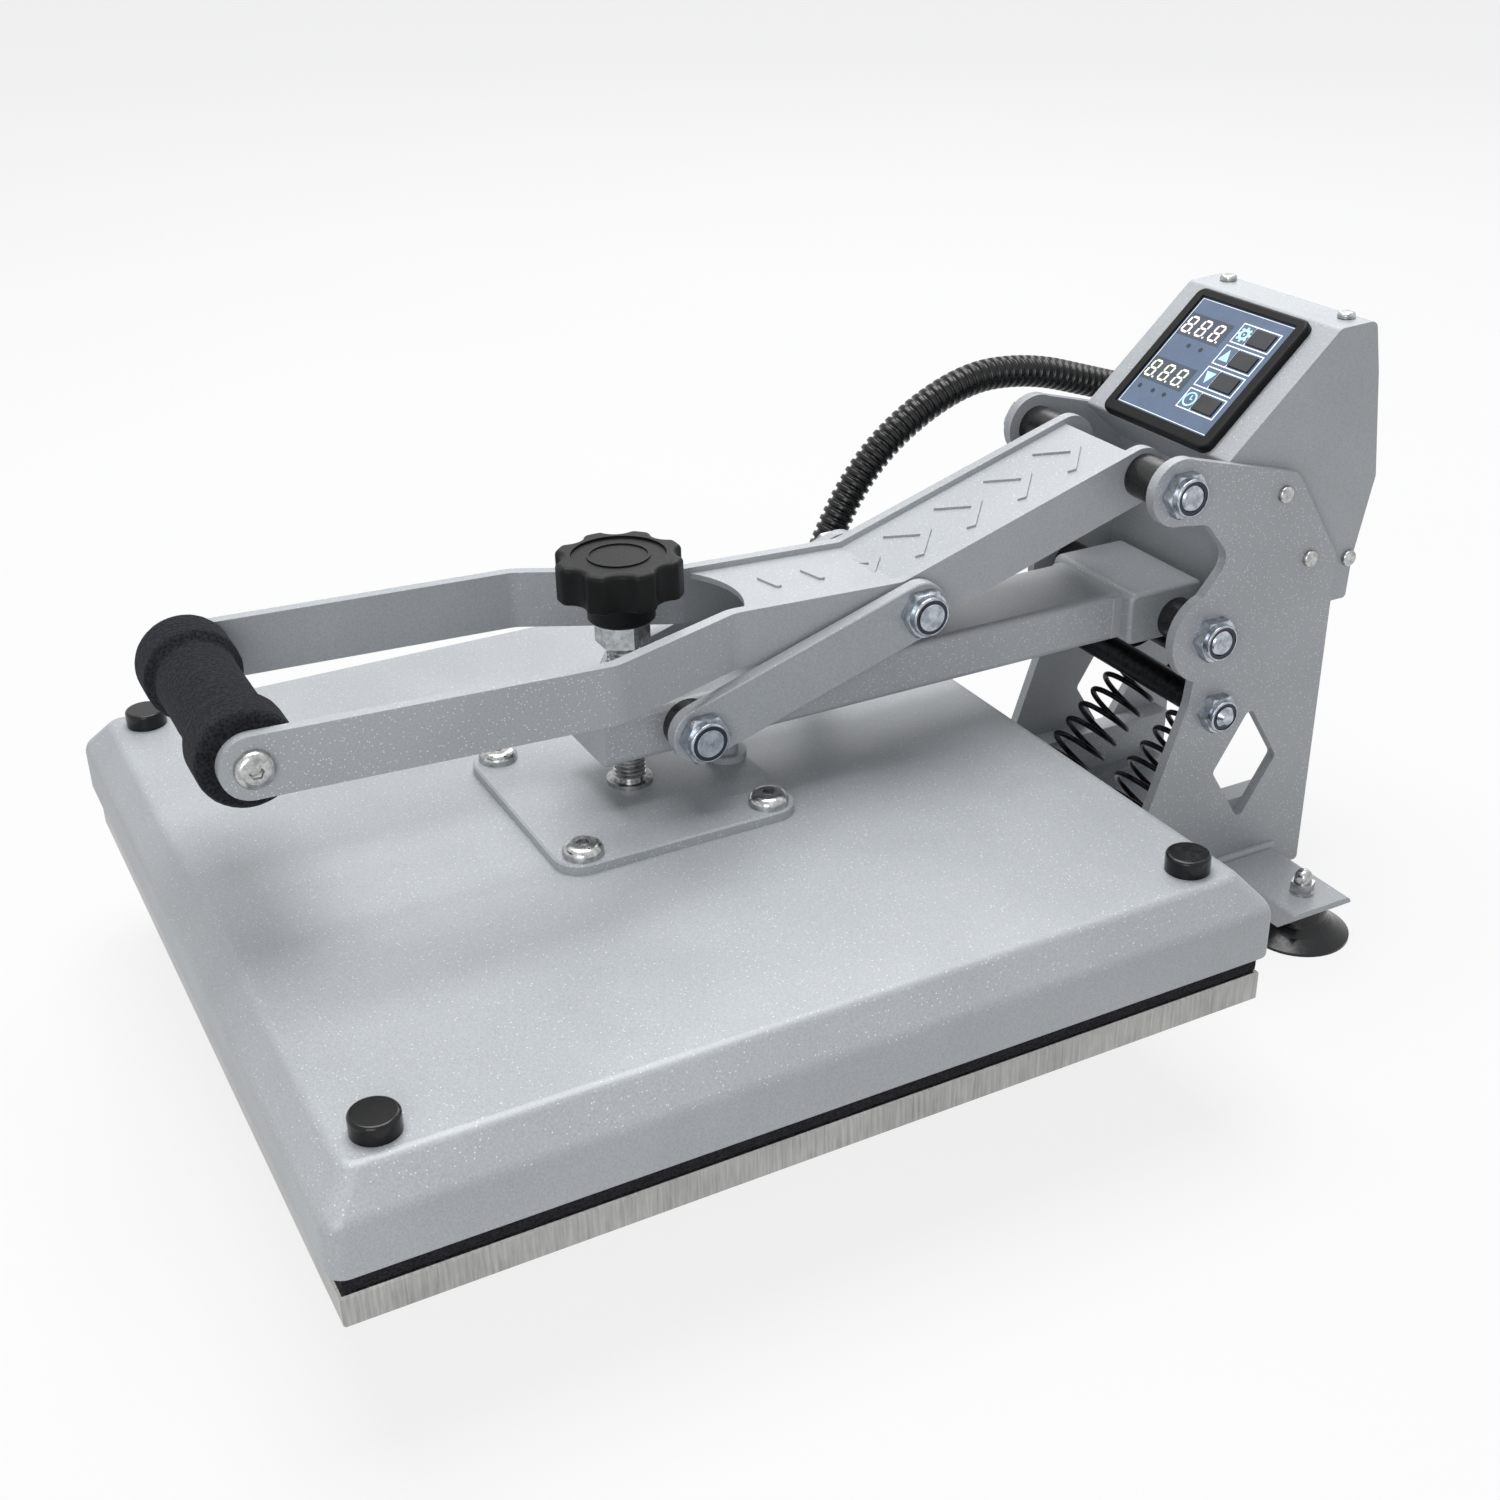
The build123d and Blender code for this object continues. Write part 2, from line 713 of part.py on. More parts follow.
def make_arm():
    low = arm_floor
    high = arm_top
    tube = block(-arm_half, arm_half, arm_front_y, block_front_y, low, high)
    tube = fillet(tube.edges().filter_by(Axis.Y), arm_edge_r)
    hollow = block(-arm_half + arm_wall, arm_half - arm_wall, arm_front_y + arm_wall, block_front_y + 10,
                   low + arm_wall, high - arm_wall)
    tube = tube - hollow
    end = block(-block_half, block_half, block_front_y, block_rear_y, low - 1, high + 1)
    end = fillet(end.edges().filter_by(Axis.X), block_edge_r)
    end = fillet(end.edges().group_by(Axis.Y)[0], 2.0)
    end = end - round_x(p2, bolt_r + pin_fit, -block_half - 1, block_half + 1)
    body = tube + end
    seam = block(-arm_half - seam_t, arm_half + seam_t, block_front_y - seam_w, block_front_y + 3,
                 low + 2, high - 1)
    seam = fillet(seam.edges().filter_by(Axis.Z), 0.7)
    body = body + (seam - hollow)
    body = body - round_x(p4, bolt_r + pin_fit, -arm_half - 1, arm_half + 1)
    body = body - round_z(0, mount_y, bush_r, low - 1, high + 1)
    body = body - round_z(0, guide_y, guide_r + slide_fit, low - 1, low + arm_wall + 1)
    bush = round_z(0, mount_y, bush_r, low, high) - round_z(0, mount_y, spindle_r + pin_fit, low - 1, high + 1)
    return body, bush


def make_tail():
    """Web behind the arm pivot with the crossbar that the springs pull on."""
    stop_angle = math.radians(25.0)
    ray_y = math.cos(stop_angle)
    ray_z = -math.sin(stop_angle)
    near = math.hypot(p5[0] - p2[0], p5[1] - p2[1]) - stop_sleeve_r - 2.0
    far = near + 2 * stop_sleeve_r + 6.0
    web = rounded_face([
        (block_rear_y, p2[1] - 3.0, 0),
        (p2[0] + far + 3.0, p2[1] - 8.0, 8),
        (crossbar[0] + crossbar_r + 4.0, crossbar[1] + 4.0, 6),
        (crossbar[0] + crossbar_r + 1.0, crossbar[1] - crossbar_r - 3.0, 6),
        (crossbar[0] - crossbar_r - 2.0, crossbar[1] - crossbar_r + 1.0, 4),
        (p2[0] + far * ray_y, p2[1] + far * ray_z, 2),
        (p2[0] + near * ray_y, p2[1] + near * ray_z, 2),
        (block_rear_y, p2[1] - 17.0, 0)])
    body = slab_x(web, -tail_half, tail_half)
    body = body - round_x(crossbar, crossbar_r, -tail_half - 1, tail_half + 1)
    bar = round_x(crossbar, crossbar_r, -crossbar_half, crossbar_half)
    bar = chamfer(bar.edges(), 0.8)
    return body, bar


def make_link():
    """Right link, straight between the toggle and the arm."""
    span = Vector(p3[0] - p4[0], p3[1] - p4[1])
    tilt = math.degrees(math.atan2(span.Y, span.X))
    middle = ((p3[0] + p4[0]) / 2, (p3[1] + p4[1]) / 2)
    face = Pos(*middle) * Rot(0, 0, tilt) * Rectangle(span.length, 2 * link_half_w)
    face = face + Pos(*p3) * Circle(link_half_w) + Pos(*p4) * Circle(link_half_w)
    body = slab_x(face, link_in, link_out)
    body = chamfer(body.edges().group_by(Axis.X)[-1], 0.5)
    body = body - round_x(p4, bolt_r + pin_fit, 0, link_out + 5)
    return body - round_x(p3, bolt_r + pin_fit, 0, link_out + 5)


def bar_line():
    """Side view centre line of the handle bars: grip, bend, handle pivot."""
    rise = (p1[1] - p3[1]) / (p1[0] - p3[0])
    return [grip, (bar_bend_y, p3[1] + (bar_bend_y - p3[0]) * rise), p1]


def make_handle_bar():
    """Right handle bar: flat bar set on edge, bent in side view and jogged in plan."""
    line = bar_line()
    side = rounded_face(strip_corners(line, bar_half_w, bar_bend_r))
    side = side + Pos(*p1) * Circle(bar_half_w) + Pos(*grip) * Circle(bar_half_w)
    plan_line = [
        (bar_front_in + bar_t / 2, grip[0] - bar_half_w - 5), (bar_front_in + bar_t / 2, bar_jog_front_y),
        (bar_rear_in + bar_t / 2, bar_jog_rear_y), (bar_rear_in + bar_t / 2, p1[0] + bar_half_w + 5)]
    plan = rounded_face(strip_corners(plan_line, bar_t / 2, bar_bend_r))
    body = slab_x(side, 0, plate_out + 10) & slab_z(plan, 100, 400)
    body = body - round_x(p1, bolt_r + pin_fit, 0, plate_out + 10)
    body = body - round_x(p3, bolt_r + pin_fit, 0, plate_out + 10)
    return body - round_x(grip, grip_screw_r + pin_fit, 0, plate_out + 10)


def make_handle_cover():
    """Embossed cover sheet between the bars."""
    line = bar_line()
    front = Vector(line[1][0] - line[0][0], line[1][1] - line[0][1]).normalized()
    rear = Vector(line[2][0] - line[1][0], line[2][1] - line[1][1]).normalized()
    rise = cover_strip_rise - cover_strip_t / 2
    bend = Vector(*line[1])
    start = bend + front * ((cover_strip_front_y - cover_strip_arc - bend.X) / front.X)
    stop = bend + rear * ((cover_strip_rear_y - bend.X) / rear.X)
    normals = [Vector(-front.Y, front.X), Vector(-rear.Y, rear.X)]
    mitre = (normals[0] + normals[1]) * (1 / (1 + normals[0].dot(normals[1])))
    points = [start + normals[0] * rise, bend + mitre * rise, stop + normals[1] * rise]
    corners = strip_corners([(p.X, p.Y) for p in points], cover_strip_t / 2, 4.0)
    sheet = slab_x(rounded_face(corners), -bar_rear_in, bar_rear_in)
    jog_gap = (bar_rear_in, cover_strip_front_y - cover_strip_arc)
    arc_mid = (0, cover_strip_front_y)
    bite = make_face([
        ThreePointArc((-jog_gap[0] - 0.01, jog_gap[1]), arc_mid, (jog_gap[0] + 0.01, jog_gap[1])),
        Line((jog_gap[0] + 0.01, jog_gap[1]), (jog_gap[0] + 0.01, jog_gap[1] - 20)),
        Line((jog_gap[0] + 0.01, jog_gap[1] - 20), (-jog_gap[0] - 0.01, jog_gap[1] - 20)),
        Line((-jog_gap[0] - 0.01, jog_gap[1] - 20), (-jog_gap[0] - 0.01, jog_gap[1]))])
    sheet = sheet - slab_z(bite, 100, 400)
    top_rear = bend + mitre * cover_strip_rise
    face_rear = Plane(origin=(0, top_rear.X, top_rear.Y), x_dir=(1, 0, 0),
                      z_dir=(0, normals[1].X, normals[1].Y))
    for i in range(chevrons):
        tip = chevron_first - i * chevron_pitch
        half = chevron_half
        arm = chevron_arm
        mark = make_face(Polyline(
            (0, tip), (half, tip - chevron_depth), (half - arm * 0.4, tip - chevron_depth - arm * 0.9),
            (0, tip - arm * 1.45), (-half + arm * 0.4, tip - chevron_depth - arm * 0.9),
            (-half, tip - chevron_depth), (0, tip)))
        sheet = sheet + extrude(face_rear * Pos(0, 0, -0.3) * mark, emboss_h + 0.3)
    face_front = Plane(origin=(0, top_rear.X, top_rear.Y), x_dir=(1, 0, 0),
                       z_dir=(0, normals[0].X, normals[0].Y))
    for back, angle in ((28.0, 14.0), (49.0, 14.0)):
        mark = Pos(0, -back) * Rot(0, 0, angle) * SlotOverall(dash_len, dash_w)
        sheet = sheet + extrude(face_front * Pos(0, 0, -0.3) * mark, emboss_h + 0.3)
    return sheet


def make_grip():
    end = bar_front_in
    flat = end - grip_collar_len
    profile = [(0, 0), (grip_r, 0), (grip_r, flat - grip_flare_len), (grip_collar_r, flat),
               (grip_collar_r, end - 3.0), (grip_collar_r - 3.0, end), (0, end), (0, 0)]
    half = revolve(make_face(Plane.XY * Polyline(*[(b, a) for a, b in profile])), Axis.X)
    foam = half + mirrored(half)
    foam = Pos(0, *grip) * foam
    foam = foam - round_x(grip, grip_rod_r, -end - 1, end + 1)
    rod = round_x(grip, grip_rod_r, -end, end)
    rod = rod - round_x(grip, grip_screw_r, -end - 1, -end + grip_screw_bite)
    rod = rod - round_x(grip, grip_screw_r, end - grip_screw_bite, end + 1)
    head_x = bar_front_in + bar_t
    screw = round_x(grip, grip_screw_r, end - grip_screw_bite, head_x + 1)
    head = round_x(grip, grip_screw_head_r, head_x, head_x + grip_screw_head_h)
    head = fillet(head.faces().sort_by(Axis.X)[-1].edges(), grip_screw_head_h * 0.7)
    head = head - hex_x(grip, hex_key_af, head_x + grip_screw_head_h * 0.45, head_x + grip_screw_head_h + 2)
    screw = screw + head
    return foam, rod, [screw, mirrored(screw)]


def make_frame_bolts():
    """Long bolts through both side plates, with their nuts and nylon rings."""
    bolts = []
    nuts = []
    rings = []
    for centre, r, across, tip in (
            (p1, bolt_r, bolt_af, 0.2), (p2, bolt_r, bolt_af, 0.2), (p5, stop_bolt_r, stop_bolt_af, stop_bolt_tip)):
        bolt = round_x(centre, r, -plate_out - 1, plate_out + bolt_nut_h + tip)
        bolt = chamfer(bolt.faces().sort_by(Axis.X)[-1].edges(), 0.8 if tip < 1 else 2.0)
        bolt = bolt + hex_x(centre, across, -plate_out - bolt_head_h, -plate_out)
        bolts.append(bolt)
        nut, ring = lock_nut(centre, r, across, plate_out, bolt_nut_h, 1)
        nuts.append(nut)
        rings.append(ring)
    spacers = []
    for side in (-1, 1):
        for centre, inner in ((p1, bar_rear_in + bar_t + side_play), (p2, block_half + side_play)):
            tube = round_x(centre, spacer_r, side * inner, side * plate_in)
            tube = tube - round_x(centre, bolt_r + pin_fit, side * (inner - 1), side * (plate_in + 1))
            spacers.append(tube)
    sleeve = round_x(p5, stop_sleeve_r, -plate_in, plate_in)
    sleeve = sleeve - round_x(p5, stop_bolt_r + pin_fit, -plate_in - 1, plate_in + 1)
    return bolts, nuts, rings, spacers, sleeve


def make_link_bolts():
    """Through bolt of the links on the arm, and the stub bolts at the toggle."""
    bolt = round_x(p4, bolt_r, -link_out - 1, link_out + bolt_nut_h + 0.2)
    bolt = bolt + hex_x(p4, bolt_af, -link_out - bolt_head_h - side_play, -link_out - side_play)
    nut, ring = lock_nut(p4, bolt_r, bolt_af, link_out + side_play, bolt_nut_h, 1)
    spacers = []
    for side in (-1, 1):
        tube = round_x(p4, link_spacer_r, side * arm_half, side * (link_in - side_play))
        spacers.append(tube - round_x(p4, bolt_r + pin_fit, side * (arm_half - 1), side * (link_in + 1)))
    stubs = []
    stub_nuts = []
    stub_rings = []
    pins = []
    bar_out = bar_rear_in + bar_t
    for side in (-1, 1):
        stubs.append(round_x(p3, bolt_r, side * link_in, side * (link_out + bolt_nut_h + 0.2)))
        one, two = lock_nut(p3, bolt_r, bolt_af, side * link_out, bolt_nut_h, side)
        stub_nuts.append(one)
        stub_rings.append(two)
        pin = round_x(p3, bolt_r, side * bar_rear_in, side * bar_out)
        pins.append(pin + round_x(p3, spacer_r, side * bar_out, side * (link_in - side_play)))
    return bolt, nut, ring, spacers, stubs, stub_nuts, stub_rings, pins


def bulged_arc(a, b, lean):
    """Arc between two points that bulges to the side the given direction leans to."""
    chord = b - a
    along = chord.normalized()
    side = lean - along * lean.dot(along)
    if side.length < 1e-7:
        return Line(a, b)
    half_turn = math.atan2(side.length, abs(lean.dot(along)))
    middle = (a + b) * 0.5 + side.normalized() * (chord.length / 2 * math.tan(half_turn / 2))
    return ThreePointArc(a, middle, b)


def biarcs(nodes):
    """Tangent arcs in space through (point, direction) nodes, two between each pair."""
    edges = []
    for (a, ta), (b, tb) in zip(nodes, nodes[1:]):
        v = b - a
        t = ta + tb
        k = 2 * (1 - ta.dot(tb))
        if k < 1e-9:
            if v.normalized().cross(ta).length < 1e-6:
                edges.append(Line(a, b))
                continue
            d = v.dot(v) / (4 * v.dot(tb))
        else:
            d = (-v.dot(t) + math.sqrt(v.dot(t) ** 2 + k * v.dot(v))) / k
        middle = (a + b + (ta - tb) * d) * 0.5
        edges.append(bulged_arc(a, middle, ta))
        edges.append(bulged_arc(middle, b, tb * -1))
    return edges


def spring_nodes(x):
    """Path of one extension spring between crossbar and anchor, hooks included."""
    top = Vector(x, *crossbar)
    foot = Vector(x, *anchor)
    axis = (foot - top).normalized()
    across = Vector(1, 0, 0)
    up = axis.cross(across)
    length = (foot - top).length
    wire_r = spring_wire / 2
    seat_top = spring_r - wire_r - crossbar_r - 0.3
    seat_foot = spring_r - wire_r - anchor_r - 0.3
    lead = 8.0
    body = length - seat_top - seat_foot - 2 * lead
    turns = int(body / spring_pitch - 0.5) + 0.5
    pitch = body / turns

    def place(u, v, z):
        return top + across * u + up * v + axis * z

    def aim(u, v, z):
        return (across * u + up * v + axis * z).normalized()

    z0 = seat_top
    z1 = length - seat_foot
    nodes = [(place(0, -spring_r + 0.6, z0 + 7.5), aim(0, 0.0, -1)),
             (place(0, -spring_r + 0.6, z0 + 7.5 - spring_wire), aim(0, 0, -1)),
             (place(0, -spring_r, z0), aim(0, 0, -1)),
             (place(0, 0, z0 - spring_r), aim(0, 1, 0)),
             (place(0, spring_r, z0), aim(0, 0, 1))]
    coil = z0 + lead
    start = math.pi / 2 + 0.45
    steps = int(turns * 4)
    rate = pitch / math.tau
    for i in range(steps + 1):
        a = start + (turns * math.tau - 0.9) * i / steps
        z = coil + rate * (a - start) * turns * math.tau / (turns * math.tau - 0.9)
        run = rate * turns * math.tau / (turns * math.tau - 0.9)
        nodes.append((place(spring_r * math.cos(a) , spring_r * math.sin(a), z),
                      aim(-spring_r * math.sin(a), spring_r * math.cos(a), run)))
    nodes = nodes + [
        (place(0, -spring_r, z1), aim(0, 0, 1)),
        (place(0, 0, z1 + spring_r), aim(0, 1, 0)),
        (place(0, spring_r, z1), aim(0, 0, -1)),
        (place(0, spring_r - 0.6, z1 - 7.5 + spring_wire), aim(0, 0, -1)),
        (place(0, spring_r - 0.6, z1 - 7.5), aim(0, 0, -1))]
    return nodes, turns


def least_self_gap(edges, thick, skip):
    """Smallest clear distance between parts of one tube, measured on points."""
    samples = []
    for edge in edges:
        count = max(2, int(edge.length / 1.2))
        for i in range(count):
            samples.append(edge @ (i / count))
    along = [0.0]
    for a, b in zip(samples, samples[1:]):
        along.append(along[-1] + (b - a).length)
    best = 1e9
    for i in range(0, len(samples), 2):
        for j in range(i + 1, len(samples)):
            if along[j] - along[i] > skip:
                best = min(best, (samples[j] - samples[i]).length - thick)
    return best


def make_spring(x):
    nodes, turns = spring_nodes(x)
    edges = biarcs(nodes)
    path = Wire(edges)
    start = Plane(origin=nodes[0][0], z_dir=nodes[0][1])
    body = sweep(start * Circle(spring_wire / 2), path=path)
    gap = least_self_gap(edges, spring_wire, spring_wire * 5)
    print("spring", x, "turns", round(turns, 1), "least gap to itself", round(gap, 2))
    return body


def panel_point(u, s, out):
    """Point on the slanted display face: u across, s up the face, out from it."""
    a = math.radians(panel_tilt)
    y = panel_foot_y + s * math.cos(a) - out * math.sin(a)
    z = cross_top + panel_foot_h + s * math.sin(a) + out * math.cos(a)
    return (u, y, z)


def panel_plane(out):
    """Plane parallel to the display face; local x across, local y up the face."""
    a = math.radians(panel_tilt)
    return Plane(origin=panel_point(0, 0, out), x_dir=(1, 0, 0), z_dir=(0, -math.sin(a), math.cos(a)))


def panel_slab(face, low, high):
    """Sheet of a (u, s) face between two heights off the display face."""
    return extrude(panel_plane(low) * face, high - low)


def box_corners(inset):
    """Side outline of the control box; an inset gives its hollow."""
    brow = panel_point(0, panel_len, 0)
    base = cross_top
    outer = [
        (panel_foot_y, base + panel_foot_h, 1.5),
        (brow[1], brow[2], 4.0),
        (brow[1] + box_top_len, brow[2] + 0.8, 4.0),
        (box_brow_y, base + box_brow_h, 0),
        (box_back_y, base + box_back_h, 3.0),
        (box_waist_y, base + box_waist_h, 0),
        (box_floor_y, base + box_floor_h, 2.0),
        (box_front_y, base + box_floor_h, 2.0),
        (box_front_y, base + box_lip_h, 0)]
    if inset == 0:
        return outer
    count = len(outer)
    inner = []
    for i in range(count):
        here = Vector(outer[i][0], outer[i][1])
        before = (here - Vector(outer[i - 1][0], outer[i - 1][1])).normalized()
        after = (Vector(outer[(i + 1) % count][0], outer[(i + 1) % count][1]) - here).normalized()
        n0 = Vector(before.Y, -before.X)
        n1 = Vector(after.Y, -after.X)
        shift = (n0 + n1) * (inset / (1 + n0.dot(n1)))
        inner.append((here.X + shift.X, here.Y + shift.Y, max(0, outer[i][2] - inset)))
    return inner


def rear_frame():
    """Middle, up direction and outward normal of the rear face that carries the inlet."""
    low = Vector(0, box_waist_y, cross_top + box_waist_h)
    high = Vector(0, box_back_y, cross_top + box_back_h)
    up = (high - low).normalized()
    out = Vector(0, up.Z, -up.Y)
    return (low + high) * 0.5, up, out


def rear_plane(offset):
    """Plane on the rear face, local x to the operator's left, local y up."""
    middle, up, out = rear_frame()
    return Plane(origin=middle + out * offset, x_dir=(-1, 0, 0), z_dir=(out.X, out.Y, out.Z))


def rear_slab(face, low, high):
    return extrude(rear_plane(low) * face, high - low)


def make_box():
    outer = slab_x(rounded_face(box_corners(0)), -box_half, box_half)
    hollow = slab_x(rounded_face(box_corners(box_t)), -box_half + box_t, box_half - box_t)
    brow_y = panel_point(0, panel_len, 0)[1]
    split = brow_y + box_top_len - 2.0
    body = outer - hollow
    cut = block(-box_half - 1, box_half + 1, split, box_back_y + 10, 0, 400)
    lining = slab_x(rounded_face(box_corners(box_t)), -box_half + box_t, box_half - box_t)
    shell = body - (cut & slab_x(rounded_face(box_corners(-1)), -box_half + box_t, box_half - box_t))
    rear = (outer - lining) & cut & slab_x(rounded_face(box_corners(-1)), -box_half + box_t, box_half - box_t)
    window = Pos(0, screen_s0 + screen_len / 2) * Rectangle(2 * screen_half + 2, screen_len + 2)
    shell = shell - panel_slab(window, -box_t - 2, 2)
    hole = Rectangle(2 * inlet_half_x - 6, 2 * inlet_half_e - 6)
    rear = rear - rear_slab(hole, -box_t - 3, 3)
    top_z = panel_point(0, panel_len, 0)[2] + 0.8
    screws = []
    for sx in (-1, 1):
        x = sx * box_screw_x
        y = split - 5.5
        pan = round_z(x, y, box_screw_head_r, top_z - 0.1, top_z + box_screw_head_h)
        pan = fillet(pan.faces().sort_by(Axis.Z)[-1].edges(), 1.4)
        screws.append(pan + round_z(x, y, box_screw_r, top_z - 6, top_z))
        shell = shell - round_z(x, y, box_screw_r, top_z - 8, top_z + 1)
        shell = shell - round_z(x, y, box_screw_head_r, top_z - 0.1, top_z + 3)
        for centre in plate_screw_places():
            head = round_x(centre, box_screw_head_r, sx * plate_out, sx * (plate_out + box_screw_head_h))
            head = fillet(head.faces().sort_by(Axis.X)[-1 if sx > 0 else 0].edges(), 1.4)
            screws.append(head + round_x(centre, box_screw_r, sx * (plate_in - 5), sx * (plate_out + 1)))
            shell = shell - round_x(centre, box_screw_r + pin_fit, sx * (plate_in - 6), sx * (plate_in + 1))
        side = (box_floor_y - 2.0, cross_top + box_waist_h + 0.5)
        head = round_x(side, box_screw_head_r, sx * box_half, sx * (box_half + box_screw_head_h))
        head = fillet(head.faces().sort_by(Axis.X)[-1 if sx > 0 else 0].edges(), 1.4)
        head = head & block(-200, 200, plate_rear_y + 1, 400, 0, 400)
        screws.append(head)
    return shell, rear, screws


def key_places():
    return [(key_u, key_s0 + i * key_pitch) for i in range(4)]


def make_panel():
    ring = Pos(0, bezel_len / 2) * RectangleRounded(2 * bezel_half, bezel_len, bezel_r)
    screen = Pos(0, screen_s0 + screen_len / 2) * Rectangle(2 * screen_half, screen_len)
    bezel = panel_slab(ring, 0, bezel_h)
    edge_top = bezel.faces().sort_by(Axis((0, 0, 0), tuple(panel_plane(0).z_dir)))[-1]
    bezel = fillet(edge_top.edges(), 1.6)
    bezel = bezel - panel_slab(screen, -1, bezel_h + 1)
    glass_top = bezel_h - screen_drop
    glass = panel_slab(screen, glass_top - screen_t, glass_top)
    board_face = Pos(0, screen_s0 + screen_len / 2) * Rectangle(2 * screen_half - 2, screen_len - 2)
    board_top = glass_top - screen_t - board_drop
    board = panel_slab(board_face, board_top - board_t, board_top)
    for u in (-screen_half + post_inset, screen_half - post_inset):
        for s in (screen_s0 + post_inset, screen_s0 + screen_len - post_inset):
            board = board + panel_slab(Pos(u, s) * Circle(post_r), board_top, glass_top - screen_t)
    keys = []
    switches = []
    for u, s in key_places():
        hole = Pos(u, s) * Rectangle(2 * (key_half_u + slide_fit), 2 * (key_half_s + slide_fit))
        glass = glass - panel_slab(hole, -2, bezel_h + 2)
        cap = panel_slab(Pos(u, s) * Rectangle(2 * key_half_u, 2 * key_half_s), glass_top - screen_t - 0.1,
                         glass_top + key_proud)
        skirt = Pos(u, s) * Rectangle(2 * key_half_u + 2, 2 * key_half_s + 2)
        foot = glass_top - screen_t - slide_fit
        cap = cap + panel_slab(skirt, foot - key_flange, foot)
        keys.append(cap)
        top = foot - key_flange - key_travel - slide_fit
        switches.append(panel_slab(Pos(u, s) * Rectangle(6, 6), board_top, top))
    digits = []
    for s in (28.0, 54.5):
        face = Pos(digit_u, s) * Rectangle(2 * digit_half_u, 2 * digit_half_s)
        digits.append(panel_slab(face, board_top, glass_top - screen_t))
    return bezel, glass, board, digits, switches, keys


def make_relay():
    floor = cross_top + box_floor_h + box_t
    y0 = box_front_y + box_t + 4.0
    body = block(-29, 29, y0, y0 + 40, floor, floor + 3)
    return body + block(-28, 28, y0 + 1, y0 + 39, floor + 3, floor + 24)


def make_inlet():
    flange = rear_slab(RectangleRounded(2 * inlet_half_x, 2 * inlet_half_e, 2.5), 0, inlet_flange_t)
    body = rear_slab(Rectangle(2 * inlet_half_x - 8, 2 * inlet_half_e - 8), -inlet_depth, 0)
    inlet = flange + body
    socket = Pos(-socket_x, 0) * Rectangle(2 * socket_half_x, 2 * socket_half_e)
    inlet = inlet - rear_slab(socket, inlet_flange_t - socket_depth, inlet_flange_t + 1)
    well = Pos(-rocker_x, 0) * Rectangle(2 * rocker_half_x + 0.8, 2 * rocker_half_e + 1.6)
    inlet = inlet - rear_slab(well, inlet_flange_t - 14.0, inlet_flange_t + 1)
    pins = []
    for dx, dy in ((-7.0, -1.6), (0.0, 2.4), (7.0, -1.6)):
        face = Pos(-socket_x + dx, dy) * Rectangle(2.0, 4.0)
        floor = inlet_flange_t - socket_depth
        pins.append(rear_slab(face, floor, floor + pin_len))
    return inlet, pins


def rocker_axis():
    """Pivot point of the rocker, on the rear plane's normal."""
    plane = rear_plane(inlet_flange_t - rocker_axis_drop)
    return plane.from_local_coords((-rocker_x, 0, 0)), plane


def make_rocker():
    """Rocker cap with a V top, resting with its lower end pressed in."""
    centre, plane = rocker_axis()
    half = rocker_half_e
    high = rocker_axis_drop + 1.2
    profile = make_face(Polyline((-half, high + 0.6), (0, high - 0.9), (half, high + 0.6),
                                 (half - 1.0, -1.0), (3, -4.0), (-3, -4.0), (-half + 1.0, -1.0),
                                 (-half, high + 0.6)))
    side = Plane(origin=(0, 0, 0), x_dir=(0, 1, 0), z_dir=(1, 0, 0))
    cap = Pos(-rocker_half_x, 0, 0) * extrude(side * profile, 2 * rocker_half_x)
    cap = Rot(rocker_tilt, 0, 0) * cap
    place = Plane(origin=centre, x_dir=plane.x_dir, z_dir=plane.z_dir)
    return place.location * cap


def hose_route():
    """Nodes of the hose's middle line: up out of the elbow, over, and down to the cover."""
    a = math.radians(hose_rise)
    start = Vector(hose_x, hose_start_y, cross_top + hose_start_h)
    out = Vector(0, -math.cos(a), math.sin(a))
    end_z = cover_top + gland_h
    run = 2 * hose_r
    top = Vector(hose_x, hose_top_y, cross_top + hose_top_h)
    foot = Vector(hose_x, hose_end_y, end_z)
    return [(start, out), (start + out * run, out), (top, Vector(0, -1, 0)),
            (foot + Vector(0, 0, run), Vector(0, 0, -1)), (foot, Vector(0, 0, -1))]


def make_hose():
    nodes = hose_route()
    edges = biarcs(nodes)
    for edge in edges:
        if edge.geom_type == GeomType.CIRCLE:
            print("hose bend radius", round(edge.radius, 1))
    path = Wire(edges)
    total = path.length
    ribs = int(total / hose_pitch)
    step = total / ribs
    sections = []
    for i in range(ribs):
        for share, r in ((0.0, hose_root_r), (0.22, hose_r), (0.62, hose_r), (0.84, hose_root_r)):
            t = (i + share) * step / total
            place = Plane(origin=path @ t, x_dir=(1, 0, 0), z_dir=(path % t))
            sections.append(place * Circle(r))
    place = Plane(origin=path @ 1.0, x_dir=(1, 0, 0), z_dir=(path % 1.0))
    sections.append(place * Circle(hose_root_r))
    body = loft(sections, ruled=True)
    start = Plane(origin=nodes[0][0], x_dir=(1, 0, 0), z_dir=nodes[0][1])
    bore = sweep(start * Circle(hose_bore_r), path=path)
    body = body - bore
    print("hose length", round(total, 1), "ribs", ribs, "volume", round(body.volume, 1))
    return body


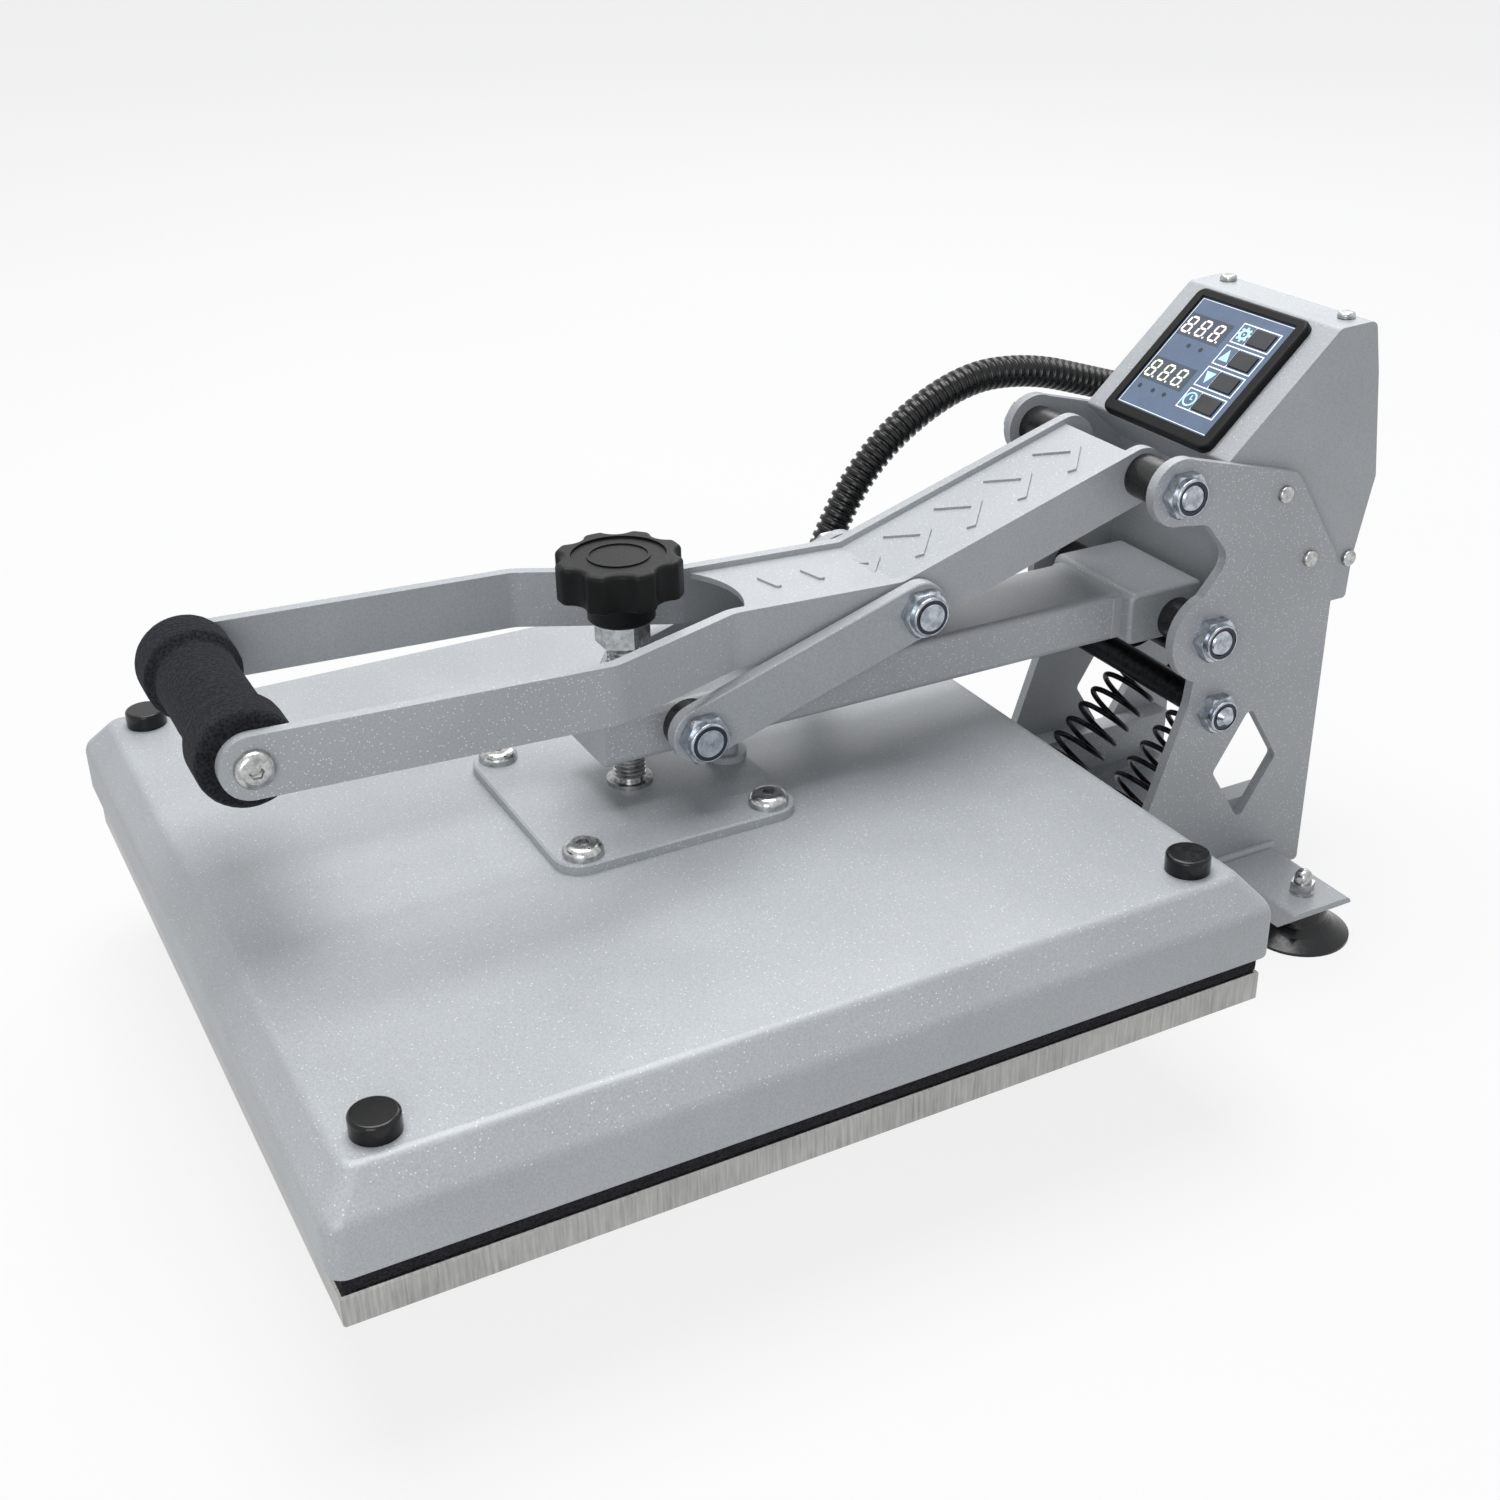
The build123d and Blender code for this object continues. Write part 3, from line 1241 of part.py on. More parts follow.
def make_hose_fittings():
    start, out = hose_route()[0]
    corner = start - out * elbow_back
    wall = -box_half
    elbow = Plane(origin=corner, z_dir=out) * Pos(0, 0, elbow_back / 2) * Cylinder(elbow_r, elbow_back)
    elbow = elbow + Pos(*corner) * Sphere(elbow_r)
    run = corner.X - wall
    elbow = elbow + Pos(wall + run / 2, corner.Y, corner.Z) * Rot(0, 90, 0) * Cylinder(elbow_r, abs(run))
    flange = hex_x((corner.Y, corner.Z), 2 * elbow_flange_r, wall - elbow_flange_t, wall)
    collar = Plane(origin=start, z_dir=out) * Pos(0, 0, -3) * Cylinder(elbow_r + 1.2, 6)
    elbow = elbow + flange + collar
    bore = Plane(origin=corner, z_dir=out) * Pos(0, 0, elbow_back / 2) * Cylinder(hose_bore_r, elbow_back + 2)
    elbow = elbow - bore
    base = cover_top
    gland = hex_z(hose_x, hose_end_y, 2 * gland_r, base, base + gland_nut_h)
    cone = Pos(hose_x, hose_end_y, base + (gland_nut_h + gland_h) / 2) * Cone(
        gland_r - 0.8, hose_r + 1.5, gland_h - gland_nut_h)
    gland = gland + cone
    gland = gland - round_z(hose_x, hose_end_y, hose_bore_r, base - 1, base + gland_h + 1)
    return elbow, gland


def build():
    """All pieces, as a dictionary of node name to list of solids."""
    feet, studs = make_feet()
    plate = make_side_plate()
    rail = make_rail()
    straps, platen_screws, platen, pad = make_lower_platen()
    cover, hot, blanket, pillars, cover_screws, mount_screws, caps, mount, guide = make_upper_platen()
    spindle, washer, sleeve, core, core_top = make_spindle()
    arm, bush = make_arm()
    tail, bar = make_tail()
    link = make_link()
    handle_bar = make_handle_bar()
    foam, rod, grip_screws = make_grip()
    bolts, nuts, rings, spacers, stop_sleeve = make_frame_bolts()
    bolt4, nut4, ring4, spacers4, stubs, stub_nuts, stub_rings, pins = make_link_bolts()
    shell, rear, box_screws = make_box()
    bezel, glass, board, digits, switches, keys = make_panel()
    inlet, inlet_pins = make_inlet()
    elbow, gland = make_hose_fittings()
    return {
        "rubber_feet": feet,
        "foot_studs": studs,
        "crossmembers": [make_crossmember(cross_rear_y), make_crossmember(cross_front_y)],
        "side_plate_right": [plate],
        "side_plate_left": [mirrored(plate)],
        "base_rails": [rail, mirrored(rail)] + straps,
        "platen_screws": platen_screws,
        "lower_platen": [platen],
        "silicone_pad": [pad],
        "frame_bolts": bolts,
        "frame_nuts": nuts,
        "frame_nut_rings": rings,
        "pivot_spacers": spacers,
        "stop_sleeve": [stop_sleeve],
        "spring_anchor": [round_x(anchor, anchor_r, -plate_in, plate_in)],
        "control_box_shell": [shell],
        "control_box_rear": [rear],
        "box_screws": box_screws,
        "display_bezel": [bezel],
        "display_window": [glass],
        "control_board": [board] + digits + switches,
        "solid_state_relay": [make_relay()],
        "power_inlet": [inlet],
        "inlet_pins": inlet_pins,
        "hose_elbow": [elbow],
        "hose": [make_hose()],
        "spring_right": [make_spring(spring_x)],
        "spring_left": [make_spring(-spring_x)],
        "lower_arm": [arm, tail],
        "spring_crossbar": [bar],
        "spindle_bush": [bush],
        "link_pivot_bolt": [bolt4, nut4],
        "link_pivot_ring": [ring4],
        "link_spacers": spacers4,
        "link_right": [link],
        "link_left": [mirrored(link)],
        "toggle_bolts": stubs + stub_nuts,
        "toggle_rings": stub_rings,
        "handle_bar_right": [handle_bar],
        "handle_bar_left": [mirrored(handle_bar)],
        "handle_cover": [make_handle_cover()],
        "toggle_pins": pins,
        "foam_grip": [foam],
        "grip_rod": [rod],
        "grip_screws": grip_screws,
        "platen_cover": [cover],
        "heating_platen": [hot],
        "heating_element": [make_element()],
        "platen_internals": pillars + [blanket],
        "cover_caps": caps,
        "mounting_plate": [mount, guide],
        "plate_screws": mount_screws + cover_screws,
        "cover_gland": [gland],
        "pressure_spindle": [spindle, washer, sleeve],
        "pressure_knob": [make_knob(core, core_top)],
        "key_timer": [keys[0]],
        "key_down": [keys[1]],
        "key_up": [keys[2]],
        "key_set": [keys[3]],
        "power_rocker": [make_rocker()],
    }


def single_solids(pieces):
    """Flatten a list of shapes into its solids."""
    solids = []
    for piece in pieces:
        solids.extend(piece.solids())
    return solids


parts = {name: single_solids(pieces) for name, pieces in build().items()}
box = Compound(children=[s for solids in parts.values() for s in solids]).bounding_box()
shift_y = -(box.min.Y + box.max.Y) / 2
print("shift", round(shift_y, 4), "size", box.size)

for name, solids in parts.items():
    moved = [Pos(0, shift_y, 0) * s for s in solids]
    shape = Compound(children=moved)
    shape.label = name
    export_step(shape, "parts/" + name + ".step")
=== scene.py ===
# %% [markdown]
# # A clamshell heat press
# The press is a square of hot metal on a hinged arm, a sponge pad on a fixed bed, and a long
# handle that locks both together. The rigid pieces come in as finished solids, so this lesson
# gives them their metals, paints and plastics, and models what is soft or printed: the foam
# grip, the sponge pad, the ribbed hose, the springs and the face of the display.

# %% Load the frame
import math

import bpy
from mathutils import Matrix, Vector, noise


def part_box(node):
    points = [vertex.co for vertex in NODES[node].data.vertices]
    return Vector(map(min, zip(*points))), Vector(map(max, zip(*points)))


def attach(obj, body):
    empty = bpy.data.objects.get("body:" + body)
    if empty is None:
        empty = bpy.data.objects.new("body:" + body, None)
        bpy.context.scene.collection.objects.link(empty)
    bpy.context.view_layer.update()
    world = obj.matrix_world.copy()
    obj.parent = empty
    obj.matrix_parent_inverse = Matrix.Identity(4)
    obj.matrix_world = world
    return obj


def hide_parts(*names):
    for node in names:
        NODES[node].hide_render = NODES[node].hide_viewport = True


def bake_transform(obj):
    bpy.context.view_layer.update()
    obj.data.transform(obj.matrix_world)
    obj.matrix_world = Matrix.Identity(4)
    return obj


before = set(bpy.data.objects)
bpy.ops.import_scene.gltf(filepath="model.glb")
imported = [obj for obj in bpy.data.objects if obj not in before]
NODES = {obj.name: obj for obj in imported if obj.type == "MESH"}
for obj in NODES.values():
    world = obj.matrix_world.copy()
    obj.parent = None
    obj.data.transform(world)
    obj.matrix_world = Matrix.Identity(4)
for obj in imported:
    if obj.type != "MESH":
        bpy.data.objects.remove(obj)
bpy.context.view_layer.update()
print("pieces from the frame:", len(NODES))

# %% [markdown]
# ## Millimetres and the frame
# Every size below is in millimetres, as on a drawing. The drawing has y = 0 at the middle of
# the platens, and the frame has it at the middle of the whole press, so one shift joins them.
# The front edge of the platen cover is a place that both know, and it gives the shift.

# %% Points of the drawing
MM = 0.001
COVER_HALF = 193.0
SHIFT_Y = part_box("platen_cover")[0][1] / MM + COVER_HALF


def at(x, y, z):
    """A point of the drawing, in metres in the frame."""
    return Vector((x * MM, (y + SHIFT_Y) * MM, z * MM))


print("shift of the drawing:", round(SHIFT_Y, 2), "mm")

# %% [markdown]
# ## Camera
# The press is seen from its right and a little above, as a person of average height would look
# at it on a bench. A moderately long lens keeps the platen's edges nearly parallel. Two angles
# and a small tilt give the camera's own three axes, which are easier to check than three
# rotations in a row.

# %% Camera
AZIMUTH = math.radians(62.66)
ELEVATION = math.radians(27.61)
ROLL = math.radians(-1.08)
LENS_MM = 46.22
SENSOR_MM = 36.0
CAMERA_PLACE = (666.3, -284.6, 508.0)


def camera_axes():
    """Right, up and back of the camera, from its two angles and its small tilt."""
    level = math.cos(ELEVATION)
    back = Vector((math.sin(AZIMUTH) * level, -math.cos(AZIMUTH) * level, math.sin(ELEVATION)))
    right = Vector((math.cos(AZIMUTH), math.sin(AZIMUTH), 0))
    up = back.cross(right)
    tilted_right = right * math.cos(ROLL) + up * math.sin(ROLL)
    tilted_up = up * math.cos(ROLL) - right * math.sin(ROLL)
    return tilted_right, tilted_up, back


camera_data = bpy.data.cameras.new("bench_view")
camera_data.lens = LENS_MM
camera_data.sensor_width = SENSOR_MM
camera = bpy.data.objects.new("bench_view", camera_data)
bpy.context.scene.collection.objects.link(camera)
turn = Matrix(camera_axes()).transposed()
camera.matrix_world = Matrix.Translation(at(*CAMERA_PLACE)) @ turn.to_4x4()
bpy.context.scene.camera = camera
print("camera stands", round(at(*CAMERA_PLACE).length / MM), "mm from the middle of the press")

# %% [markdown]
# ## Colour and nodes
# Colours are read from swatches as hex values. Screens store them bent towards the dark end, so
# one function turns them straight before a shader sees them. A second function adds any node
# with its settings and links, which keeps each material short enough to read.

# %% Colour and node helpers


def linear(code):
    """An sRGB hex colour as linear red, green, blue and alpha, by the standard curve."""
    parts = [int(code[i:i + 2], 16) / 255 for i in (1, 3, 5)]
    straight = [p / 12.92 if p <= 0.04045 else ((p + 0.055) / 1.055) ** 2.4 for p in parts]
    return (*straight, 1.0)


def add(tree, kind, settings=None, to=None, out=0, **links):
    """A node of one kind, fed by links and linked on to a socket; gives one of its outputs."""
    node = tree.nodes.new("ShaderNode" + kind)
    for name, value in (settings or {}).items():
        if isinstance(name, str) and hasattr(node, name):
            setattr(node, name, value)
        else:
            node.inputs[name].default_value = value
    for name, source in links.items():
        key = int(name[1:]) if name[1:].isdigit() else name.replace("_", " ")
        tree.links.new(source, node.inputs[key])
    if to is not None:
        tree.links.new(node.outputs[out], to)
    return node.outputs[out] if len(node.outputs) else node


print("mid grey in straight light:", round(linear("#808080")[0], 3))

# %% [markdown]
# ## What every finish starts from
# A finish begins as a plain shader. Its patterns are measured in millimetres of the piece, so a
# noise with a scale of one over four has grains of about four millimetres. Noise gathers round
# its middle value, so the part from 0.3 to 0.7 is stretched before it mixes two swatches or
# drives the gloss.

# %% Start of a finish
SPECKLE = {"Detail": 2.0, "Roughness": 0.6}
DEEP_SPECKLE = {"Detail": 3.0, "Roughness": 0.6}
MIDDLE = {"From Min": 0.3, "From Max": 0.7}
NARROW = {"From Min": 0.35, "From Max": 0.65}


def finish_of(name, **sockets):
    """A new material with its shader, ready for patterns."""
    material = bpy.data.materials.new(name)
    material.use_nodes = True
    shader = material.node_tree.nodes["Principled BSDF"]
    for key, value in sockets.items():
        shader.inputs[key.replace("_", " ")].default_value = value
    return material, material.node_tree, shader


def millimetres(tree):
    """The piece's own coordinates, in millimetres."""
    where = add(tree, "TexCoord", out="Object")
    return add(tree, "VectorMath", {"operation": "SCALE", "Scale": 1 / MM}, _0=where)


def two_swatches(tree, value, span, dark, light, to=None):
    """A colour that drifts from one swatch to the other as a value crosses its span."""
    share = add(tree, "MapRange", span, Value=value)
    swatches = {"data_type": "RGBA", 6: linear(dark), 7: linear(light)}
    return add(tree, "Mix", swatches, to=to, out=2, _0=share)


# %% [markdown]
# ## Powder coat
# The body is sheet steel with a silver powder coat: paint dust melted in an oven. Flakes of
# aluminium in it sparkle as single bright dots, and the melt leaves a faint orange peel. The
# sparkle is painted into the colour as pale dots, a painted glint on each flake. The flakes are
# far finer than a pixel, so their painted glints are drawn about half a millimetre wide, and few.

# %% Powder coat
CLOUD_MM, PEEL_MM, GRAIN_MM = 60.0, 1.6, 0.8
FLAKE_CELL_MM = 1.1
FLAKE_REACH = 0.24
FLAKE_RARITY = 0.87


def flake_glints(tree, where):
    """1 on the few cells that hold a flake, near the cell's middle, where a painted glint goes,
    and 0 elsewhere.
    """
    far = add(tree, "TexVoronoi", {"Scale": 1 / FLAKE_CELL_MM}, Vector=where)
    luck = add(tree, "SeparateColor", Color=far.node.outputs["Color"])
    near = add(tree, "Math", {"operation": "LESS_THAN", 1: FLAKE_REACH}, _0=far)
    rare = add(tree, "Math", {"operation": "GREATER_THAN", 1: FLAKE_RARITY}, _0=luck)
    return add(tree, "Math", {"operation": "MULTIPLY"}, _0=near, _1=rare)


def powder_coat():
    """Soft grey clouds, a fine grain over them, and painted flake glints on top."""
    coat, tree, shader = finish_of("silver_powder_coat_on_steel", Metallic=0.12, Roughness=0.45)
    where = millimetres(tree)
    cloud = add(tree, "TexNoise", {"Scale": 1 / CLOUD_MM, **SPECKLE}, Vector=where)
    grain = add(tree, "TexNoise", {"Scale": 1 / GRAIN_MM, **DEEP_SPECKLE}, Vector=where)
    peel = add(tree, "TexNoise", {"Scale": 1 / PEEL_MM, **SPECKLE}, Vector=where)
    body = two_swatches(tree, cloud, NARROW, "#B4B8BC", "#BABEC2")
    dust = two_swatches(tree, grain, MIDDLE, "#D6D6D6", "#FFFFFF")
    dusty = {"data_type": "RGBA", "blend_type": "MULTIPLY", 0: 0.7}
    fine = add(tree, "Mix", dusty, out=2, _6=body, _7=dust)
    # Pale dots on the flake cells are painted glints, not a colour the coat has.
    add(tree, "Mix", {"data_type": "RGBA", 7: linear("#DFE2E5")}, out=2,
        to=shader.inputs["Base Color"], _0=flake_glints(tree, where), _6=fine)
    add(tree, "MapRange", {**MIDDLE, "To Min": 0.38, "To Max": 0.52},
        to=shader.inputs["Roughness"], Value=grain)
    add(tree, "Bump", {"Distance": 0.04 * MM, "Strength": 0.6},
        to=shader.inputs["Normal"], Height=peel)
    return coat


SILVER = powder_coat()
print("made", SILVER.name)

# %% [markdown]
# ## Brushed aluminium
# The bed is an aluminium slab whose sawn edge was brushed across, so short strokes stand upright
# on its sides. The hot platen is ground on its face, with longer strokes along it. Noise that is
# squeezed along two axes and drawn out along the third gives the strokes, with no picture.

# %% Brushed aluminium
PATCH_MM = 18.0


def brushed(name, dark, light, stretch, rough):
    """Metal with strokes, and larger patches where the brush pressed harder."""
    metal, tree, shader = finish_of(name, Metallic=1.0)
    where = millimetres(tree)
    thin = add(tree, "VectorMath", {"operation": "MULTIPLY", 1: stretch}, _0=where)
    hairs = add(tree, "TexNoise", {"Scale": 1.0, "Detail": 4.0, "Roughness": 0.65}, Vector=thin)
    patch = add(tree, "TexNoise", {"Scale": 1 / PATCH_MM, **SPECKLE}, Vector=where)
    both = add(tree, "Math", {"operation": "MULTIPLY_ADD", 1: 0.35}, _0=patch, _2=hairs)
    two_swatches(tree, both, {"From Min": 0.45, "From Max": 0.95}, dark, light,
                 to=shader.inputs["Base Color"])
    add(tree, "MapRange", {**MIDDLE, "To Min": rough - 0.08, "To Max": rough + 0.1},
        to=shader.inputs["Roughness"], Value=hairs)
    add(tree, "Bump", {"Distance": 0.02 * MM, "Strength": 0.5},
        to=shader.inputs["Normal"], Height=hairs)
    return metal


# Strokes per millimetre along x, y and z: upright hairs on the slab's sides.
ALUMINIUM = brushed("brushed_aluminium_slab", "#8C8C8A", "#BCBCBA", (0.8, 0.8, 0.045), 0.34)
# Long hairs from side to side on the pressing face, which give it a soft wide sheen.
GROUND = brushed("ground_aluminium_platen", "#8E8E8C", "#BEBEBC", (0.05, 1.1, 0.4), 0.38)
print("made", ALUMINIUM.name, "and", GROUND.name)

# %% [markdown]
# ## Plated and turned metals
# The bolts and nuts are zinc plated, with soft cloudy patches from the bath, and the button heads
# are turned stainless steel. The bush in the arm is brass and the springs are blackened. All are
# one recipe, because clouds and a slight grain are what sets them apart from a mirror.

# %% Plated and turned metals
TURNING_MM = 0.6


def plated(name, dark, light, rough, patch_mm):
    """Plated or turned metal with cloudy patches."""
    metal, tree, shader = finish_of(name, Metallic=1.0)
    where = millimetres(tree)
    bath = {"Scale": 1 / patch_mm, "Detail": 4.0, "Roughness": 0.6}
    cloud = add(tree, "TexNoise", bath, Vector=where)
    grain = add(tree, "TexNoise", {"Scale": 1 / TURNING_MM, **SPECKLE}, Vector=where)
    two_swatches(tree, cloud, NARROW, dark, light, to=shader.inputs["Base Color"])
    add(tree, "MapRange", {**MIDDLE, "To Min": rough, "To Max": rough + 0.12},
        to=shader.inputs["Roughness"], Value=cloud)
    add(tree, "Bump", {"Distance": 0.01 * MM, "Strength": 0.4},
        to=shader.inputs["Normal"], Height=grain)
    return metal


# A cold bluish mirror with paler clouds.
ZINC = plated("bright_zinc_plate", "#8D939C", "#C6CBD1", 0.14, 4.0)
# A neutral mirror, a little even.
STAINLESS = plated("turned_stainless_steel", "#969898", "#C9CAC9", 0.15, 3.0)
# Warm yellow, seen only round the spindle.
BRASS = plated("turned_brass", "#A88A4A", "#C8AA62", 0.28, 3.0)
# Nearly black, with a thin oily shine on each coil.
BLACK_STEEL = plated("black_oxide_spring_steel", "#141416", "#26272A", 0.34, 2.5)
print("made", ", ".join(m.name for m in (ZINC, STAINLESS, BRASS, BLACK_STEEL)))

# %% [markdown]
# ## Plastics and rubber
# The knob and the bezel are moulded ABS with a fine spark texture from the mould. The caps and
# the suction feet are glossier. Nylon spacers are smooth with a slight wax look, and the small
# rings in the lock nuts are dyed blue. One recipe makes them all, with the size and depth of the
# mould's grain as its numbers.

# %% Plastics and rubber
DRIFT_MM = 14.0


def moulded(name, dark, light, rough, grain_mm, depth_mm, **extra):
    """Moulded plastic or rubber: one colour with a slight drift, and the mould's own grain."""
    plastic, tree, shader = finish_of(name, **extra)
    where = millimetres(tree)
    drift = add(tree, "TexNoise", {"Scale": 1 / DRIFT_MM, **DEEP_SPECKLE}, Vector=where)
    grain = add(tree, "TexNoise", {"Scale": 1 / grain_mm, **SPECKLE}, Vector=where)
    two_swatches(tree, drift, NARROW, dark, light, to=shader.inputs["Base Color"])
    add(tree, "MapRange", {**MIDDLE, "To Min": rough - 0.06, "To Max": rough + 0.08},
        to=shader.inputs["Roughness"], Value=grain)
    add(tree, "Bump", {"Distance": depth_mm * MM, "Strength": 0.7},
        to=shader.inputs["Normal"], Height=grain)
    return plastic


# Matt black with a fine sand in it.
TEXTURED_BLACK = moulded("spark_textured_black_abs", "#060708", "#0D0E10", 0.46, 0.7, 0.05,
                         Specular_IOR_Level=0.2)
# A clear, sharp highlight on a nearly even skin.
GLOSS_BLACK = moulded("polished_black_abs", "#050506", "#0A0B0D", 0.16, 3.0, 0.01,
                      Specular_IOR_Level=0.35)
# A wet-looking shine, a little uneven.
FOOT_RUBBER = moulded("glossy_black_suction_rubber", "#08090C", "#111419", 0.22, 2.2, 0.03,
                      Specular_IOR_Level=0.4)
# A soft wax sheen.
NYLON = moulded("black_nylon_spacer", "#0D0D0F", "#18191B", 0.3, 2.0, 0.02)
# The same wax sheen in dark blue.
BLUE_NYLON = moulded("blue_nylon_lock_ring", "#0F1626", "#1B2740", 0.35, 1.0, 0.02)
# Dull dark grey that takes fingers well.
KEY_PLASTIC = moulded("black_silicone_key", "#1B1C20", "#2A2B30", 0.4, 0.5, 0.04)
# Green lacquer over copper.
BOARD_GREEN = moulded("solder_masked_board", "#12402A", "#1B5A3A", 0.35, 0.8, 0.02)
# A narrow bright line along the top of each rib.
HOSE_PLASTIC = moulded("black_corrugated_nylon", "#060708", "#0E0F11", 0.24, 1.5, 0.02,
                       Specular_IOR_Level=0.4)
# Chalky white wool.
FIBRE = moulded("ceramic_fibre_blanket", "#CFCBC0", "#E6E2D8", 0.85, 0.8, 0.2, Sheen_Weight=0.2)
# Tinted film with a clear gloss over its print.
OVERLAY = moulded("blue_grey_display_overlay", "#586B87", "#5F7290", 0.2, 6.0, 0.005,
                  Coat_Weight=0.5)
print("finishes so far:", len(bpy.data.materials))

# %% [markdown]
# ## Foam and sponge
# The grip is closed-cell foam rubber and the pad is silicone sponge. Both are full of small
# cells cut open at the skin, which reads as a dark, pitted, matt surface. A cell pattern gives
# the pits and paints each one darker at its middle, as painted shade in the hollow, and softer
# noise between them keeps the black from looking like one flat paint. Real cells are about half
# a millimetre wide, and they are drawn at 1.3 mm so that they show.

# %% Foam and sponge
CELL_MM = 1.3


def cellular(name, dark, light, depth_mm):
    """Matt black full of small pits, each darker at its middle with painted shade."""
    foam, tree, shader = finish_of(name, Roughness=0.95, Specular_IOR_Level=0.15,
                                   Sheen_Weight=0.03)
    where = millimetres(tree)
    cells = add(tree, "TexVoronoi", {"Scale": 1 / CELL_MM}, Vector=where)
    soft = add(tree, "TexNoise", {"Scale": 1 / (CELL_MM * 0.7), **DEEP_SPECKLE}, Vector=where)
    pit_depth_and_shade = add(tree, "Math", {"operation": "MULTIPLY"}, _0=cells, _1=soft)
    # Darker colour at each pit's middle is painted shade; the same pattern also dents the skin.
    two_swatches(tree, pit_depth_and_shade, {"From Min": 0.05, "From Max": 0.4}, dark, light,
                 to=shader.inputs["Base Color"])
    add(tree, "Bump", {"Distance": depth_mm * MM, "Strength": 1.0},
        to=shader.inputs["Normal"], Height=pit_depth_and_shade)
    return foam


FOAM = cellular("closed_cell_foam_rubber", "#0F1013", "#2A2C31", 0.6)
SPONGE = cellular("silicone_sponge", "#131216", "#2A282E", 0.4)
print("made", FOAM.name, "and", SPONGE.name)

# %% [markdown]
# ## Dressing the solids
# Each solid keeps its shape and takes one of the finishes above. A list from finish to pieces
# is easier to check against the real press than a material on every object by hand.

# %% Dress the solids
WEARS = {
    SILVER: ["crossmembers", "side_plate_right", "side_plate_left", "base_rails",
             "control_box_shell", "control_box_rear", "lower_arm", "link_right", "link_left",
             "handle_bar_right", "handle_bar_left", "handle_cover", "platen_cover",
             "mounting_plate"],
    ALUMINIUM: ["lower_platen"],
    GROUND: ["heating_platen"],
    ZINC: ["frame_bolts", "frame_nuts", "link_pivot_bolt", "toggle_bolts", "toggle_pins",
           "grip_rod"],
    STAINLESS: ["foot_studs", "platen_screws", "box_screws", "inlet_pins", "grip_screws",
                "plate_screws", "pressure_spindle", "heating_element"],
    BRASS: ["spindle_bush"],
    BLACK_STEEL: ["stop_sleeve", "spring_anchor", "spring_right", "spring_left",
                  "spring_crossbar"],
    FOOT_RUBBER: ["rubber_feet"],
    NYLON: ["pivot_spacers", "link_spacers"],
    BLUE_NYLON: ["frame_nut_rings", "link_pivot_ring", "toggle_rings"],
    TEXTURED_BLACK: ["display_bezel", "pressure_knob", "power_inlet", "solid_state_relay"],
    GLOSS_BLACK: ["cover_caps", "hose_elbow", "cover_gland", "power_rocker"],
    KEY_PLASTIC: ["key_timer", "key_down", "key_up", "key_set"],
    BOARD_GREEN: ["control_board"],
    HOSE_PLASTIC: ["hose"],
    FIBRE: ["platen_internals"],
    OVERLAY: ["display_window"],
    FOAM: ["foam_grip"],
    SPONGE: ["silicone_pad"],
}
dressed = set()
for finish, names in WEARS.items():
    for name in names:
        piece = NODES[name]
        piece.data.materials.clear()
        piece.data.materials.append(finish)
        dressed.add(name)
print("bare pieces:", sorted(set(NODES) - dressed))

# %% [markdown]
# ## Making new pieces
# A new piece is a list of points and faces, which gives full say over where each point goes.
# One helper turns the list into an object, smooths its shading where asked and gives it its
# finish. Round pieces are stacks of rings, so a second helper joins any stack with faces.

# %% Helpers for new pieces


def piece_from(name, points, faces, finish, smooth=True):
    """A mesh object from points in metres in the frame."""
    mesh = bpy.data.meshes.new(name)
    mesh.from_pydata([tuple(p) for p in points], [], faces)
    mesh.validate()
    mesh.polygons.foreach_set("use_smooth", [smooth] * len(mesh.polygons))
    mesh.materials.append(finish)
    made = bpy.data.objects.new(name, mesh)
    bpy.context.scene.collection.objects.link(made)
    print(name, "has", len(mesh.polygons), "faces")
    return made


def rings_to_faces(rings, around):
    """Faces between rings of points, each ring with the same count, and one face on each end."""
    faces = []
    for i in range(rings - 1):
        low, high = i * around, (i + 1) * around
        for j in range(around):
            k = (j + 1) % around
            faces.append((low + j, low + k, high + k, high + j))
    faces.append(tuple(range(around))[::-1])
    faces.append(tuple((rings - 1) * around + j for j in range(around)))
    return faces


def tube(name, path, radius_at, around, finish):
    """A tube along points, with its own radius at each; the section never twists."""
    points = []
    normal = None
    for i, here in enumerate(path):
        ahead = path[min(i + 1, len(path) - 1)] - path[max(i - 1, 0)]
        ahead.normalize()
        if normal is None:
            normal = ahead.orthogonal().normalized()
        normal = (normal - ahead * normal.dot(ahead)).normalized()
        side = ahead.cross(normal)
        for j in range(around):
            a = math.tau * j / around
            points.append(here + (normal * math.cos(a) + side * math.sin(a)) * radius_at(i))
    return piece_from(name, points, rings_to_faces(len(path), around), finish)


# %% [markdown]
# ## Foam grip
# The grip is a sleeve of foam pushed on a rod, thicker at both ends so that the hand doesn't
# slip off. It is turned like a lathe job from a profile, and a little noise pushes the skin in
# and out, because foam is never as true as metal.

# %% Foam grip
GRIP_Y, GRIP_Z = -165.0, 192.1
GRIP_HALF = 50.8
BARREL_R, COLLAR_R = 16.0, 19.3
FLARE_FROM, FLARE_MM = 27.0, 4.0
EDGE_MM, EDGE_DROP = 4.0, 3.4
GRIP_AROUND, GRIP_RINGS = 72, 91
SKIN_MM = 0.15
SKIN_ALONG, SKIN_ROUND = 0.6, 10


def grip_radius(x):
    """Radius of the sleeve at a distance from its middle, in millimetres."""
    x = abs(x)
    flare = min(max((x - FLARE_FROM) / FLARE_MM, 0.0), 1.0)
    r = BARREL_R + (COLLAR_R - BARREL_R) * flare * flare * (3 - 2 * flare)
    edge = min(1.0, max(0.0, x - (GRIP_HALF - EDGE_MM)) / EDGE_MM)
    return r - EDGE_DROP * (1 - math.sqrt(1 - edge * edge))


